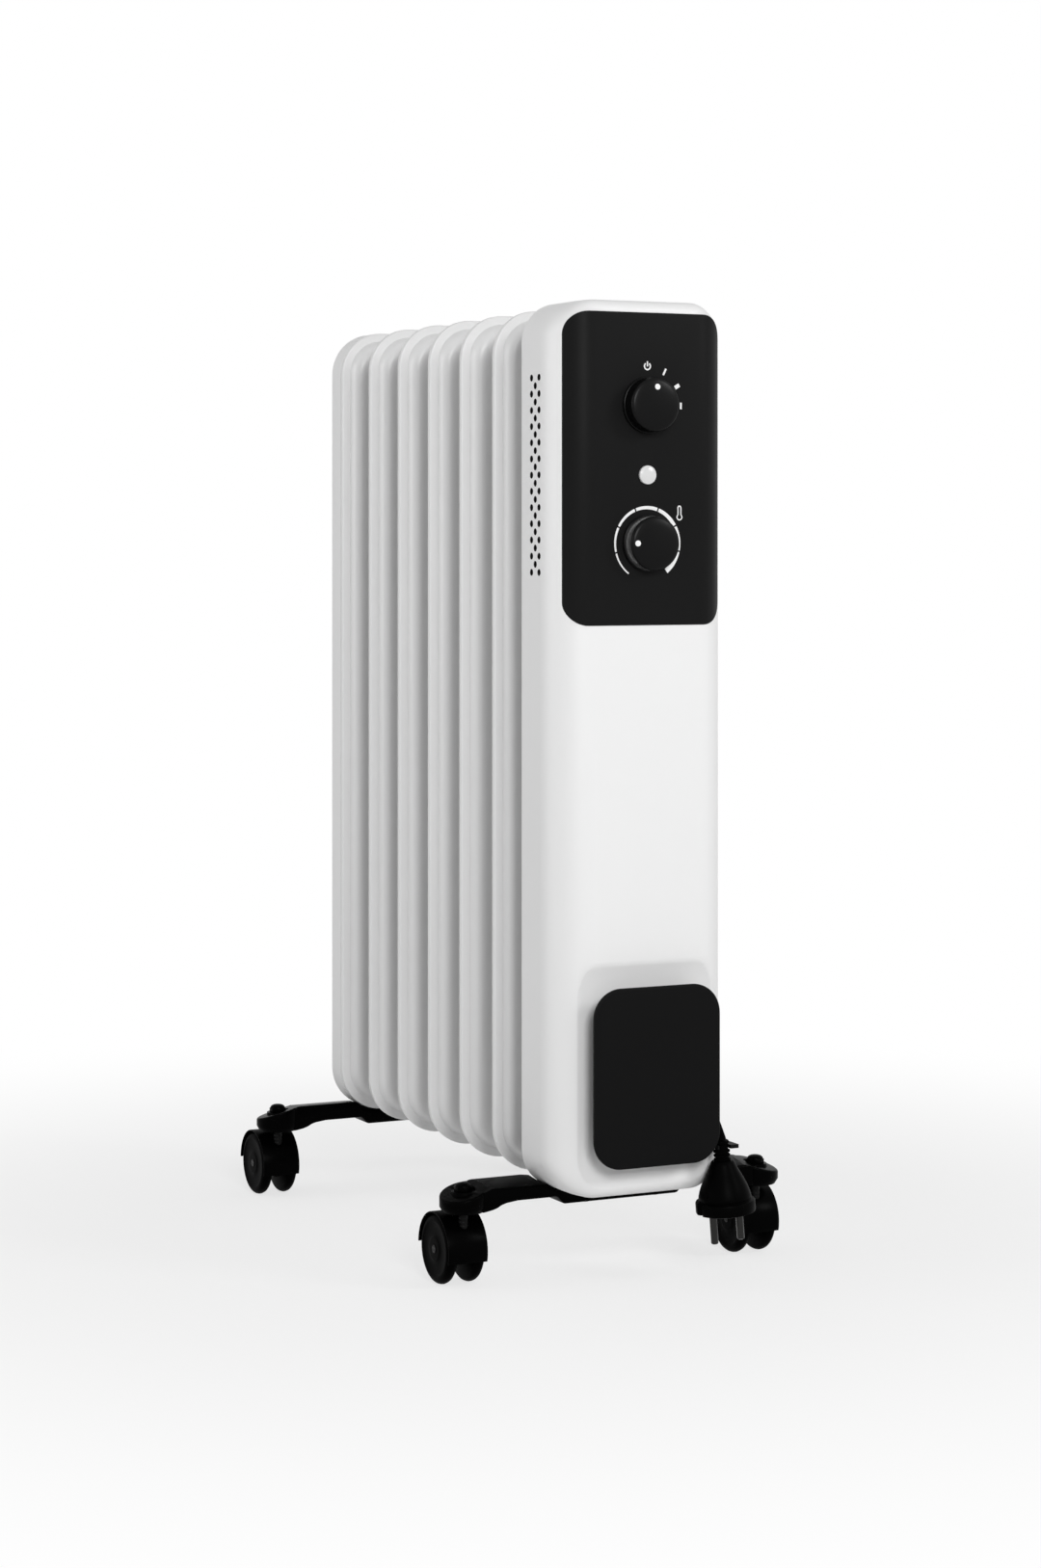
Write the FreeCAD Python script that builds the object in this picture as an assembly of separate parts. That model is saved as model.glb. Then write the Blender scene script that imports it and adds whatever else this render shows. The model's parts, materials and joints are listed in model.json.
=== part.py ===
"""Seven-fin oil filled radiator heater on two foot bars with four twin-wheel casters.

Millimetres. +Z is up and the control panel faces -Y. The origin lies on the floor, midway between the
foremost face (the winder cover) and the rearmost one (the rear wheels). Depths are measured back from
the housing's flat front face, and depth() turns them into Y.
"""

import FreeCAD, Part
import math
import os

Vec = FreeCAD.Vector
X_DIR, Y_DIR, Z_DIR = Vec(1, 0, 0), Vec(0, 1, 0), Vec(0, 0, 1)

# ---- general clearances ----
SEAT_GAP = 0.2            # between pieces that are laid or pushed together
RUN_CLEAR = 0.05          # radial, shafts and pins that turn in a hole
FIXED_CLEAR = 0.02        # radial, shafts and pins that are held in a hole

# ---- fins ----
FIN_COUNT = 7
FIN_PITCH = 50.8
FIN_HALF_WIDTH = 60.3
FIN_HEIGHT = 561.0
FIN_CORNER = 30.0
FIN_LAND = 5.3            # flat welded rim round each fin
FIN_RIM = 2.2             # hemmed thickness of one half shell's rim
FIN_WALL = 0.8
FIN_1_DEPTH = 48.0        # middle plane of the first fin
PILLOW = ((0.0, 0.0), (3.0, 3.0), (6.5, 5.6), (11.0, 7.6), (16.0, 8.5))   # inset from the land, height
HEADER_RISE = 42.0        # header centres from the fin's ends
HEADER_BORE = 16.0
SLEEVE_RADIUS = 21.0
PORT_RADIUS = 18.2
PORT_LENGTH = 2.0

# ---- front housing ----
HOUSING_WALL = 2.4
SKIRT_WALL = 1.5
SKIRT_DEPTH = 44.0        # the skirt laps over the first fin's rim from here
HOUSING_DEPTH = 53.1
HOUSING_MARGIN = 1.6      # housing outline outside the fin outline
HOUSING_CORNER = 25.6
PLAN_RADIUS = 25.5        # rounded vertical front corners
EDGE_RADIUS = 8.0         # rounded top and bottom front edges
CORNER_EASE = 0.7
NOSE_ANGLES = (0, 8, 16, 24, 34, 46, 60, 75, 90)
RECESS_HALF_WIDTH = 49.0
RECESS_RISE = 10.9        # over the housing's bottom
RECESS_HEIGHT = 137.0
RECESS_CORNER = 20.0
RECESS_DEPTH = 3.0
RECESS_BACKING = 6.0      # the thick wall behind the recess reaches so far beyond it
SCREW_BOSS_RADIUS = 4.5
SCREW_BOSS = 6.0
VENT_ROWS = 13
VENT_PITCH = 10.25
VENT_COLUMN_PITCH = 5.3
VENT_RADIUS = 2.2
VENT_DEPTH = 33.6
VENT_RISE = 33.3          # over the panel's bottom

# ---- control panel and controls ----
PANEL_HALF_WIDTH = 55.6
PANEL_MARGIN = 7.7        # under the housing's top
PANEL_FOOT = 51.6         # under the thermostat's centre
PANEL_CORNER = 14.5
PANEL_PROUD = 0.7
PANEL_SUNK = 0.9
PANEL_REACH = 12.0        # how far back round the corners the panel goes
PANEL_SPARE = 20.0        # the blank that it is cut from reaches so far beyond it
SELECTOR_DROP = 58.5      # under the panel's top
SELECTOR_GAP = 20.9       # between the selector's and the lamp's bodies
THERMOSTAT_GAP = 19.2     # between the lamp's and the thermostat's bodies
KNOB_RADIUS = 17.9
KNOB_LENGTH = 12.7
KNOB_DOME = 2.0
KNOB_SHOULDER = 1.6
KNOB_BACK_GAP = 0.6
SHAFT_RADIUS = 3.0
SHAFT_IN_KNOB = 9.0
SHAFT_END_GAP = 3.0       # from the back of the body it turns in
BUSHING_RADIUS = 5.0
LENS_RADIUS = 6.0
LENS_PROUD = 2.0
PLATE_THICKNESS = 1.2
PLATE_MARGIN = 1.4        # inside the housing's flat front
PLATE_FOOT = 28.0         # under the thermostat's centre
PLATE_HEAD = 24.9         # over the selector's centre
SELECTOR_SIZE = (30.0, 18.4, 30.0)
THERMOSTAT_SIZE = (32.0, 22.4, 32.0)
LAMP_BODY_RADIUS = 8.0
LAMP_BODY_LENGTH = 14.4

# ---- heat shield and internal parts ----
SHIELD_THICKNESS = 1.2
SHIELD_SET_BACK = 0.1     # its edge inside the fin's outline
SHIELD_RISE = 1.0         # the dish stands this much further forward than the fin's bulge
SHIELD_PORT_RADIUS = 21.0
FLANGE_RADIUS = 20.0
FLANGE_THICKNESS = 4.3
ELEMENT_RADIUS = 4.2
ELEMENT_SPREAD = 6.5
ELEMENT_END_MARGIN = 17.0
TERMINAL_RADIUS = 1.5
TERMINAL_LENGTH = 9.0
FILLER_RADIUS = 5.0
FILLER_HEX = 7.0
FILLER_HEAD = 4.3
FILLER_SHANK = 5.0
BLOCK_SIZE = (40.0, 16.0, 20.0)
BLOCK_RISE = 38.0         # over the winder's middle
TILT_SIZE = (24.0, 26.0, 36.0)
TILT_DROP = 4.7           # under the lower header
TILT_ARM = 16.0
TILT_ARM_HALF = (2.0, 1.2)
TILT_EYE_RADIUS = 2.6
TILT_BOB_RADIUS = 3.4
TILT_BOB_HALF = 6.0
TILT_X = -33.0
TILT_WALL = 2.0
TILT_PIN_RADIUS = 1.0
TILT_PIVOT_DROP = 11.0
CUTOUT_RADIUS = 8.0
CUTOUT_LENGTH = 8.0
CUTOUT_X = 27.0
CUTOUT_RISE = 34.3        # over the lower header
WIRE_RADIUS = 1.5
WIRE_BEND = 0.3
WIRE_TAIL = 5.0           # straight end before a terminal or a body
WIRE_LANE = 18.0          # from the middle, past the thermostat's body
WIRE_DROP = 12.0
MAINS_THINNING = 0.8      # the inner lead without its outer sheath

# ---- winder, lead and plug ----
CORD_RADIUS = 3.5
COVER_HALF_WIDTH = 44.6
COVER_RISE = 9.6          # over the recess's bottom
COVER_HEIGHT = 112.8
COVER_CORNER = 19.0
COVER_THICKNESS = 3.0
COVER_STANDOFF = 15.3
COVER_SOFT_EDGE = 1.0
COVER_PEG = 4.0
HUB_HALF_WIDTH = 11.0
HUB_STRAIGHT = 22.0       # half length of the hub's and the coil's straight sides
HUB_WALL = 2.4
HUB_FLOOR = 3.0
COIL_TURNS = 3            # in each of two layers
COIL_SLACK = 0.4
COIL_LIFT = 0.4           # from the recess floor
GLAND_X = 38.5
GLAND_DEPTH = -1.7
GLAND_RISE = 16.0         # over the winder's middle
GLAND_LENGTH = 20.0
GLAND_ROOT_RADIUS = 4.6
GLAND_TIP_RADIUS = 4.1
EAR_RISE = 6.0            # over the gland's tip
EAR_HEIGHT = 16.0
EAR_HALF_WIDTH = 5.6
EAR_STANDOFF = 7.5
FORK_RISE = 7.0           # over the cover's bottom
FORK_THICKNESS = 2.4
FORK_SLOT = 8.4
FORK_INWARD = 5.2         # from the slot's middle
FORK_OUTWARD = 9.8
FORK_STANDOFF = 15.0
FORK_FOOT_BACK = 2.0      # thickness of its foot on the recess's floor
FORK_FOOT_INWARD = (10.2, 2.2)           # from the slot's middle, to both sides of the foot
FORK_FOOT_BELOW = 4.6
FORK_FOOT_ABOVE = 5.0
NECK_OUTSIDE_COVER = 3.6  # the slot's middle beyond the cover's edge
PLUG_DEPTH = -10.0
PLUG_LEAN = 4.5           # degrees, the pins swing towards +X
PLUG_FLANGE_RADIUS = 19.0
PLUG_FLANGE = 8.0
PLUG_CONE_TOP = 29.1      # along the plug's axis from the flange's middle
# the body over the flange: share of the flange's radius, and share of the way to the cone's top
PLUG_SHOULDER = ((0.895, 0.0), (0.853, 0.16), (0.695, 0.478), (0.516, 0.777), (0.368, 1.0))
PLUG_NOTCH_RADIUS = 3.2
RELIEF_RIB_RADIUS = 5.3
RELIEF_RIB = 1.4
RELIEF_RIB_PITCH = 2.6
RELIEF_RADIUS = 4.2
RELIEF_NECK_RADIUS = 3.9
RELIEF_BEAD_RADIUS = 4.9
PLUG_NECK_LOW = 36.6
PLUG_NECK_HIGH = 39.8
PLUG_RELIEF_TOP = 41.9
PLUG_PIN_RADIUS = 2.4
PLUG_PIN_LENGTH = 19.0
PLUG_PIN_PITCH = 19.0
PLUG_PIN_ROOT = 6.0       # thinner end that is set in the body
PLUG_PIN_ROOT_RADIUS = 2.0
# x, depth and z of route points:
# the lead from the gland's tip
LEAD_ROUTE = ((0.0, 0.0, -8.5), (-2.1, 0.7, -18.5), (-6.1, 0.8, -28.5), (-8.9, 0.8, -38.0))
# and the tail from the coil's right side at the winder's middle
TAIL_ROUTE = ((0.0, -8.25, 16.0), (3.6, -8.25, 2.0), (8.4, -8.25, -12.0), (10.4, -8.25, -23.5),
              (15.9, -8.25, -35.0))

# ---- rear cover ----
REAR_COVER_LENGTH = 20.5
REAR_COVER_WALL = 2.0
REAR_EDGE_RADIUS = 6.0
REAR_STUD_RISE = 90.0
REAR_STUD_RADIUS = 5.0
SCREW_RADIUS = 2.0
SCREW_HEAD_RADIUS = 3.8
SCREW_HEAD = 1.8
SCREW_END_GAP = 1.0

# ---- foot bars and casters ----
FRONT_FOOT_SET = -0.9     # from the first fin's middle plane
REAR_FOOT_SET = 9.8       # from the last fin's middle plane
STEM_X = 105.9
FOOT_HALF_DEPTH = 12.5
FOOT_HEIGHT = 18.0        # from the bosses' undersides to the top's inner edge
FOOT_FALL = 3.6           # of the top towards its outer side, over the bosses' width
FOOT_PAD_RISE = 1.1       # of the middle's underside over the bosses' undersides
FOOT_PAD = 8.5            # thickness under the housing
FOOT_SIDE_GAP = 0.3       # to the body's rounded sides
# share of the way to the stem, and rise over the bosses' undersides
FOOT_UNDERSIDE = ((0.0, FOOT_PAD_RISE), (0.387, FOOT_PAD_RISE), (0.425, 6.0), (0.689, 6.0), (0.765, 5.0),
                  (0.859, 1.3), (0.925, 0.1))
BOSS_RADIUS = 15.0
BOSS_FOOT_RADIUS = 13.0
BOSS_TAPER = 3.5
BOSS_FALL = 8.6           # of the bosses' tops, likewise
BOSS_SCOOP = 3.0          # the bar is hollowed so far round them
BOSS_CLEAR = 1.7          # over the hood's top
NUT_SEAT_RADIUS = 7.6
NUT_SEAT_RISE = 13.0      # over the bosses' undersides
BOLT_RADIUS = 2.0
BOLT_X = 25.0
BOLT_HEAD = 2.4
BOLT_HEAD_RADIUS = 3.8
BOLT_RECESS = 2.6         # from the underside to the seat of the head
BOLT_NUT = 3.4
FRONT_BOLT_SET = -8.5     # from the bar's middle
REAR_BOLT_SET = 2.9
STEM_RADIUS = 3.0
STEM_DROP = 2.2           # its lower end below the axle
STEM_IN_NUT = 2.3
CAP_NUT_RADIUS = 6.0
CAP_NUT_HEX = 3.0
CAP_NUT_HEIGHT = 5.5
WHEEL_RADIUS = 22.2
# short of the wheel's radius, and outwards from its inner face
WHEEL_PROFILE = ((11.2, 0.0), (1.8, 1.4), (0.4, 3.0), (0.0, 4.4), (0.5, 6.6), (2.0, 8.0), (4.0, 8.6))
WHEEL_INNER_FACE = 4.6
CASTER_TRAIL = 15.3
AXLE_RADIUS = 2.5
AXLE_HALF_LENGTH = 13.4
HOOD_GAP = 0.5
HOOD_THICKNESS = 0.9
HOOD_HALF_WIDTH = 13.6
HOOD_FRONT_ANGLE = -15.0  # the shell's ends, round the axle, from straight ahead and up over the top
HOOD_BACK_ANGLE = 178.0
WEB_HALF_WIDTH = 4.2
WEB_RADIUS = 11.4

# ---- sizes that follow from those above ----
WHEEL_Z = WHEEL_RADIUS
HOOD_INNER = WHEEL_RADIUS + HOOD_GAP
HOOD_OUTER = HOOD_INNER + HOOD_THICKNESS
STEM_LOW = WHEEL_Z - STEM_DROP
BOSS_LOW = WHEEL_Z + HOOD_OUTER + BOSS_CLEAR
FOOT_TOP = BOSS_LOW + FOOT_HEIGHT
NUT_SEAT = BOSS_LOW + NUT_SEAT_RISE
FOOT_PAD_LOW = BOSS_LOW + FOOT_PAD_RISE
BOLT_SEAT = FOOT_PAD_LOW + BOLT_RECESS
HOUSING_LOW = FOOT_PAD_LOW + FOOT_PAD
FIN_LOW = HOUSING_LOW + HOUSING_MARGIN
FIN_HIGH = FIN_LOW + FIN_HEIGHT
FIN_BULGE = FIN_RIM + PILLOW[-1][1]
FIN_1_FACE = FIN_1_DEPTH - FIN_BULGE
LAST_FIN_DEPTH = FIN_1_DEPTH + FIN_PITCH * (FIN_COUNT - 1)
HEADER_LOW = FIN_LOW + HEADER_RISE
HEADER_HIGH = FIN_HIGH - HEADER_RISE
HOUSING_HALF_WIDTH = FIN_HALF_WIDTH + HOUSING_MARGIN
HOUSING_HIGH = FIN_HIGH + HOUSING_MARGIN
HOUSING_INSIDE = RECESS_DEPTH + HOUSING_WALL
PANEL_HIGH = HOUSING_HIGH - PANEL_MARGIN
SELECTOR_HEIGHT = PANEL_HIGH - SELECTOR_DROP
LAMP_HEIGHT = SELECTOR_HEIGHT - SELECTOR_SIZE[2] / 2.0 - SELECTOR_GAP - LAMP_BODY_RADIUS
THERMOSTAT_HEIGHT = LAMP_HEIGHT - LAMP_BODY_RADIUS - THERMOSTAT_GAP - THERMOSTAT_SIZE[2] / 2.0
PANEL_LOW = THERMOSTAT_HEIGHT - PANEL_FOOT
PLATE_LOW = THERMOSTAT_HEIGHT - PLATE_FOOT
PLATE_HIGH = SELECTOR_HEIGHT + PLATE_HEAD
PLATE_HALF_WIDTH = HOUSING_HALF_WIDTH - PLAN_RADIUS - PLATE_MARGIN
PLATE_BACK = HOUSING_WALL + PLATE_THICKNESS
VENT_LOW = PANEL_LOW + VENT_RISE
KNOB_BACK = -PANEL_PROUD - KNOB_BACK_GAP
KNOB_FRONT = KNOB_BACK - KNOB_LENGTH
SHIELD_BACK = FIN_1_DEPTH - FIN_RIM
SHIELD_FACE = SHIELD_BACK - SHIELD_THICKNESS - PILLOW[-1][1] - SHIELD_RISE
FLANGE_FACE = FIN_1_FACE - PORT_LENGTH - FLANGE_THICKNESS
REAR_COVER_DEPTH = LAST_FIN_DEPTH + FIN_RIM
REAR_COVER_BACK = REAR_COVER_DEPTH + REAR_COVER_LENGTH
FRONT_FOOT_DEPTH = FIN_1_DEPTH + FRONT_FOOT_SET
REAR_FOOT_DEPTH = LAST_FIN_DEPTH + REAR_FOOT_SET
FRONT_BOLT_DEPTH = FRONT_FOOT_DEPTH + FRONT_BOLT_SET
REAR_BOLT_DEPTH = REAR_FOOT_DEPTH + REAR_BOLT_SET
FACE_Y = -(REAR_FOOT_DEPTH + CASTER_TRAIL + WHEEL_RADIUS - COVER_STANDOFF) / 2.0
RECESS_LOW = HOUSING_LOW + RECESS_RISE
RECESS_HIGH = RECESS_LOW + RECESS_HEIGHT
COVER_LOW = RECESS_LOW + COVER_RISE
COVER_HIGH = COVER_LOW + COVER_HEIGHT
COVER_BACK = COVER_THICKNESS - COVER_STANDOFF
COVER_MIDDLE = (COVER_LOW + COVER_HIGH) / 2.0
COIL_INNER = HUB_HALF_WIDTH + COIL_SLACK
COIL_OUTER = COIL_INNER + COIL_TURNS * 2 * CORD_RADIUS + COIL_SLACK
COIL_BACK = RECESS_DEPTH - COIL_LIFT
COIL_FRONT = COIL_BACK - 4 * CORD_RADIUS - COIL_SLACK / 2.0
GLAND_LOW = COVER_MIDDLE + GLAND_RISE
GLAND_HIGH = GLAND_LOW + GLAND_LENGTH
EAR_LOW = GLAND_LOW + EAR_RISE
EAR_HIGH = EAR_LOW + EAR_HEIGHT
EAR_MIDDLE = (EAR_LOW + EAR_HIGH) / 2.0
BLOCK_LOW = COVER_MIDDLE + BLOCK_RISE
TILT_LOW = HEADER_LOW - TILT_DROP
TILT_PIVOT = TILT_LOW + TILT_SIZE[2] - TILT_PIVOT_DROP
TILT_MIDDLE = HOUSING_INSIDE + TILT_SIZE[1] / 2.0
CUTOUT_Z = HEADER_LOW + CUTOUT_RISE
FORK_LOW = COVER_LOW + FORK_RISE
FORK_HIGH = FORK_LOW + FORK_THICKNESS
NECK_X = COVER_HALF_WIDTH + NECK_OUTSIDE_COVER
NECK_ALONG = (PLUG_NECK_LOW + PLUG_NECK_HIGH) / 2.0
PLUG_X = NECK_X + NECK_ALONG * math.sin(math.radians(PLUG_LEAN))
PLUG_Z = (FORK_LOW + FORK_HIGH) / 2.0 - NECK_ALONG * math.cos(math.radians(PLUG_LEAN))


def depth(back):
    """Y of a plane that lies so far behind the housing's front face."""
    return FACE_Y + back


def point(x, back, z):
    return Vec(x, depth(back), z)


def box(x_low, x_high, d_low, d_high, z_low, z_high):
    return Part.makeBox(x_high - x_low, d_high - d_low, z_high - z_low, point(x_low, d_low, z_low))


def rod(radius, start, end):
    """Cylinder from one point to another."""
    along = end.sub(start)
    return Part.makeCylinder(radius, along.Length, start, along)


def rod_y(radius, x, z, d_low, d_high):
    return rod(radius, point(x, d_low, z), point(x, d_high, z))


def rod_z(radius, x, back, z_low, z_high):
    return rod(radius, point(x, back, z_low), point(x, back, z_high))


def rod_x(radius, x_low, x_high, back, z):
    return rod(radius, point(x_low, back, z), point(x_high, back, z))


def fuse(shapes):
    return shapes[0].multiFuse(shapes[1:]).removeSplitter()


def outline(half_width, low, high, radius, back):
    """Rounded rectangle in the X-Z plane at one depth."""
    def at(x, z):
        return point(x, back, z)
    slant = radius * (1 - math.sqrt(0.5))
    edges = []
    corners = ((1, 1), (-1, 1), (-1, -1), (1, -1))
    starts = []
    for sx, sz in corners:
        x, z = sx * half_width, (high if sz > 0 else low)
        side = at(x, z - sz * radius)
        end = at(x - sx * radius, z)
        middle = at(x - sx * slant, z - sz * slant)
        first, last = (side, end) if sx == sz else (end, side)
        edges.append(Part.Arc(first, middle, last).toShape())
        starts.append((first, last))
    wire_edges = []
    for index, edge in enumerate(edges):
        wire_edges.append(edge)
        wire_edges.append(Part.LineSegment(starts[index][1], starts[(index + 1) % 4][0]).toShape())
    return Part.Wire(wire_edges)


def slab(half_width, low, high, radius, d_low, d_high):
    """Rounded rectangle drawn back from one depth to another."""
    return Part.Face(outline(half_width, low, high, radius, d_low)).extrude(Vec(0, d_high - d_low, 0))


def loft(wires):
    return Part.makeLoft(wires, True, True)


def pipe(points, radius, bend_share=0.45):
    """Round tube along straight runs joined by tangent arcs; also returns the arcs' radii."""
    edges, radii = [], []
    here = points[0]
    for before, corner, after in zip(points, points[1:], points[2:]):
        back_way, on_way = before.sub(corner), after.sub(corner)
        reach = bend_share * min(back_way.Length, on_way.Length)
        half_turn = (math.pi - back_way.getAngle(on_way)) / 2.0
        back_way.normalize()
        on_way.normalize()
        start, end = corner + back_way * reach, corner + on_way * reach
        bend = reach / math.tan(half_turn)
        inward = (back_way + on_way).normalize()
        middle = corner + inward * (bend / math.cos(half_turn) - bend)
        edges.append(Part.LineSegment(here, start).toShape())
        edges.append(Part.Arc(start, middle, end).toShape())
        radii.append(bend)
        here = end
    edges.append(Part.LineSegment(here, points[-1]).toShape())
    path = Part.Wire(edges)
    ring = Part.Wire([Part.Circle(points[0], points[1].sub(points[0]), radius).toShape()])
    tube = path.makePipeShell([ring], True, False)
    expected = math.pi * radius ** 2 * path.Length
    print("tube length %.1f, volume ratio %.4f, bend radii %s"
          % (path.Length, tube.Volume / expected, ["%.1f" % bend for bend in radii]))
    return tube


def save(name, shapes):
    """Write one node; several solids become a compound."""
    solids = [solid for shape in shapes for solid in shape.Solids]
    bad = [solid for solid in solids if not solid.isValid() or solid.Volume <= 0]
    result = solids[0] if len(solids) == 1 else Part.makeCompound(solids)
    result.exportStep("parts/%s.step" % name)
    print("%-22s %2d solids %10.0f mm3%s" % (name, len(solids), sum(s.Volume for s in solids),
                                              "  BAD" if bad else ""))


# ---- fins ----

def pillow(side, inset, sink, base):
    """Bulged panel of a half shell, on the side of its middle plane that side gives, centred at depth 0."""
    wires = [outline(FIN_HALF_WIDTH - FIN_LAND - inset, FIN_LOW + FIN_LAND + inset,
                     FIN_HIGH - FIN_LAND - inset, FIN_CORNER - FIN_LAND - inset, base)]
    for across, height in PILLOW:
        margin = FIN_LAND + across + inset
        wires.append(outline(FIN_HALF_WIDTH - margin, FIN_LOW + margin, FIN_HIGH - margin,
                             FIN_CORNER - margin, side * (FIN_RIM + height - sink)))
    return loft(wires if sink else wires[1:])


def fin_half(side, closed=False):
    """Half shell with its middle plane at depth 0; side is -1 for the front half and 1 for the back."""
    ends = sorted((0.0, side * FIN_RIM))
    rim = slab(FIN_HALF_WIDTH, FIN_LOW, FIN_HIGH, FIN_CORNER, ends[0], ends[1])
    holes = [pillow(side, FIN_WALL, FIN_WALL, 0.0)]
    if not closed:
        for z in (HEADER_LOW, HEADER_HIGH):
            holes.append(rod_y(HEADER_BORE, 0, z, side * FIN_RIM, side * (FIN_BULGE + 1)))
    return rim.fuse(pillow(side, 0.0, 0.0, 0.0)).cut(Part.makeCompound(holes)).removeSplitter()


def first_half():
    """Front half of the first fin: closed but for the element's port and the filler hole."""
    port = rod_y(PORT_RADIUS, 0, HEADER_LOW, -FIN_BULGE - PORT_LENGTH, -FIN_BULGE + FIN_WALL)
    tools = [rod_y(HEADER_BORE, 0, HEADER_LOW, -FIN_BULGE - PORT_LENGTH, -FIN_RIM),
             rod_y(FILLER_RADIUS + FIXED_CLEAR, 0, HEADER_HIGH, -FIN_BULGE, -FIN_RIM)]
    return fin_half(-1, closed=True).fuse(port).cut(Part.makeCompound(tools)).removeSplitter()


def rear_stud_heights():
    return FIN_LOW + REAR_STUD_RISE, FIN_HIGH - REAR_STUD_RISE


def last_half():
    """Back half of the last fin: closed, with two studs that the rear cover is screwed to."""
    inside = REAR_COVER_BACK - REAR_COVER_WALL - LAST_FIN_DEPTH
    shell = fin_half(1, closed=True)
    for z in rear_stud_heights():
        shell = shell.fuse(rod_y(REAR_STUD_RADIUS, 0, z, FIN_BULGE - FIN_WALL / 2.0, inside))
    holes = [rod_y(SCREW_RADIUS + FIXED_CLEAR, 0, z, FIN_BULGE, inside) for z in rear_stud_heights()]
    return shell.cut(Part.makeCompound(holes)).removeSplitter()


def make_fins():
    front, back = fin_half(-1), fin_half(1)
    for index in range(FIN_COUNT):
        move = Vec(0, FIN_1_DEPTH + index * FIN_PITCH, 0)
        halves = [first_half() if index == 0 else front.copy(),
                  last_half() if index == FIN_COUNT - 1 else back.copy()]
        for half in halves:
            half.translate(move)
        save("fin_%d" % (index + 1), halves)


def make_sleeves():
    """Short tubes that join neighbouring fins at the top and bottom headers."""
    sleeves = []
    for index in range(FIN_COUNT - 1):
        start = FIN_1_DEPTH + index * FIN_PITCH + FIN_BULGE
        end = start + FIN_PITCH - 2 * FIN_BULGE
        for z in (HEADER_LOW, HEADER_HIGH):
            sleeves.append(rod_y(SLEEVE_RADIUS, 0, z, start, end).cut(rod_y(HEADER_BORE, 0, z, start, end)))
    save("header_sleeves", sleeves)


def rear_shape(inset):
    wires = [outline(FIN_HALF_WIDTH - inset, FIN_LOW + inset, FIN_HIGH - inset, FIN_CORNER - inset,
                     REAR_COVER_DEPTH)]
    edge = REAR_EDGE_RADIUS - inset
    start = REAR_COVER_BACK - REAR_EDGE_RADIUS
    for angle in (0, 22.5, 45, 67.5, 90):
        turn = math.radians(angle)
        pull = inset + edge * (1 - math.cos(turn))
        wires.append(outline(FIN_HALF_WIDTH - pull, FIN_LOW + pull, FIN_HIGH - pull, FIN_CORNER - pull,
                             start + edge * math.sin(turn)))
    return loft(wires)


def make_rear_cover():
    inside = REAR_COVER_BACK - REAR_COVER_WALL
    tools = bolt_holes(REAR_BOLT_DEPTH)
    for z in rear_stud_heights():
        tools.append(rod_y(SCREW_RADIUS + FIXED_CLEAR, 0, z, inside - 1, REAR_COVER_BACK + 1))
    cover = rear_shape(0.0).cut(rear_shape(REAR_COVER_WALL)).cut(Part.makeCompound(tools))
    save("rear_cover", [cover.removeSplitter()])


# ---- front housing and panel ----

def nose(inset, back):
    """Housing outline drawn back from its rounded front, moved in by a wall."""
    wires = []
    plan = PLAN_RADIUS - inset
    edge = EDGE_RADIUS - inset
    for angle in NOSE_ANGLES:
        turn = math.radians(angle)
        run = plan * (1 - math.cos(turn))
        half = HOUSING_HALF_WIDTH - PLAN_RADIUS + plan * math.sin(turn)
        drop = edge - math.sqrt(edge ** 2 - max(0.0, edge - run) ** 2)
        corner = HOUSING_CORNER - inset - CORNER_EASE * plan * (1 - math.sin(turn))
        pull = inset + drop
        wires.append(outline(half, HOUSING_LOW + pull, HOUSING_HIGH - pull, corner, inset + run))
    wires.append(outline(HOUSING_HALF_WIDTH - inset, HOUSING_LOW + inset, HOUSING_HIGH - inset,
                         HOUSING_CORNER - inset, back))
    return loft(wires)


def plan_prism(grow):
    """Upright prism with the housing's plan outline, grown outwards."""
    low, high = PANEL_LOW - PANEL_SPARE, PANEL_HIGH + PANEL_SPARE
    half, radius = HOUSING_HALF_WIDTH + grow, PLAN_RADIUS + grow
    slant = radius * (1 - math.sqrt(0.5))
    front, back = -grow, HOUSING_DEPTH
    edges = []
    left = point(-half, front + radius, low)
    left_end = point(-half + radius, front, low)
    right_end = point(half - radius, front, low)
    right = point(half, front + radius, low)
    edges.append(Part.Arc(left, point(-half + slant, front + slant, low), left_end).toShape())
    edges.append(Part.LineSegment(left_end, right_end).toShape())
    edges.append(Part.Arc(right_end, point(half - slant, front + slant, low), right).toShape())
    right_back, left_back = point(half, back, low), point(-half, back, low)
    edges.append(Part.LineSegment(right, right_back).toShape())
    edges.append(Part.LineSegment(right_back, left_back).toShape())
    edges.append(Part.LineSegment(left_back, left).toShape())
    return Part.Face(Part.Wire(edges)).extrude(Vec(0, 0, high - low))


def panel_blank(margin, proud):
    """Panel shape: a skin between two plan outlines, cut to the panel's front outline."""
    front_cut = slab(PANEL_HALF_WIDTH + margin, PANEL_LOW - margin, PANEL_HIGH + margin,
                     PANEL_CORNER + margin, -8.0, PANEL_REACH + margin)
    return plan_prism(proud).cut(plan_prism(-PANEL_SUNK)).common(front_cut)


def control_heights():
    return SELECTOR_HEIGHT, THERMOSTAT_HEIGHT


def control_holes(d_low, d_high):
    holes = [rod_y(BUSHING_RADIUS + SEAT_GAP, 0, z, d_low, d_high) for z in control_heights()]
    holes.append(rod_y(LENS_RADIUS + SEAT_GAP, 0, LAMP_HEIGHT, d_low, d_high))
    return Part.makeCompound(holes)


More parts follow.
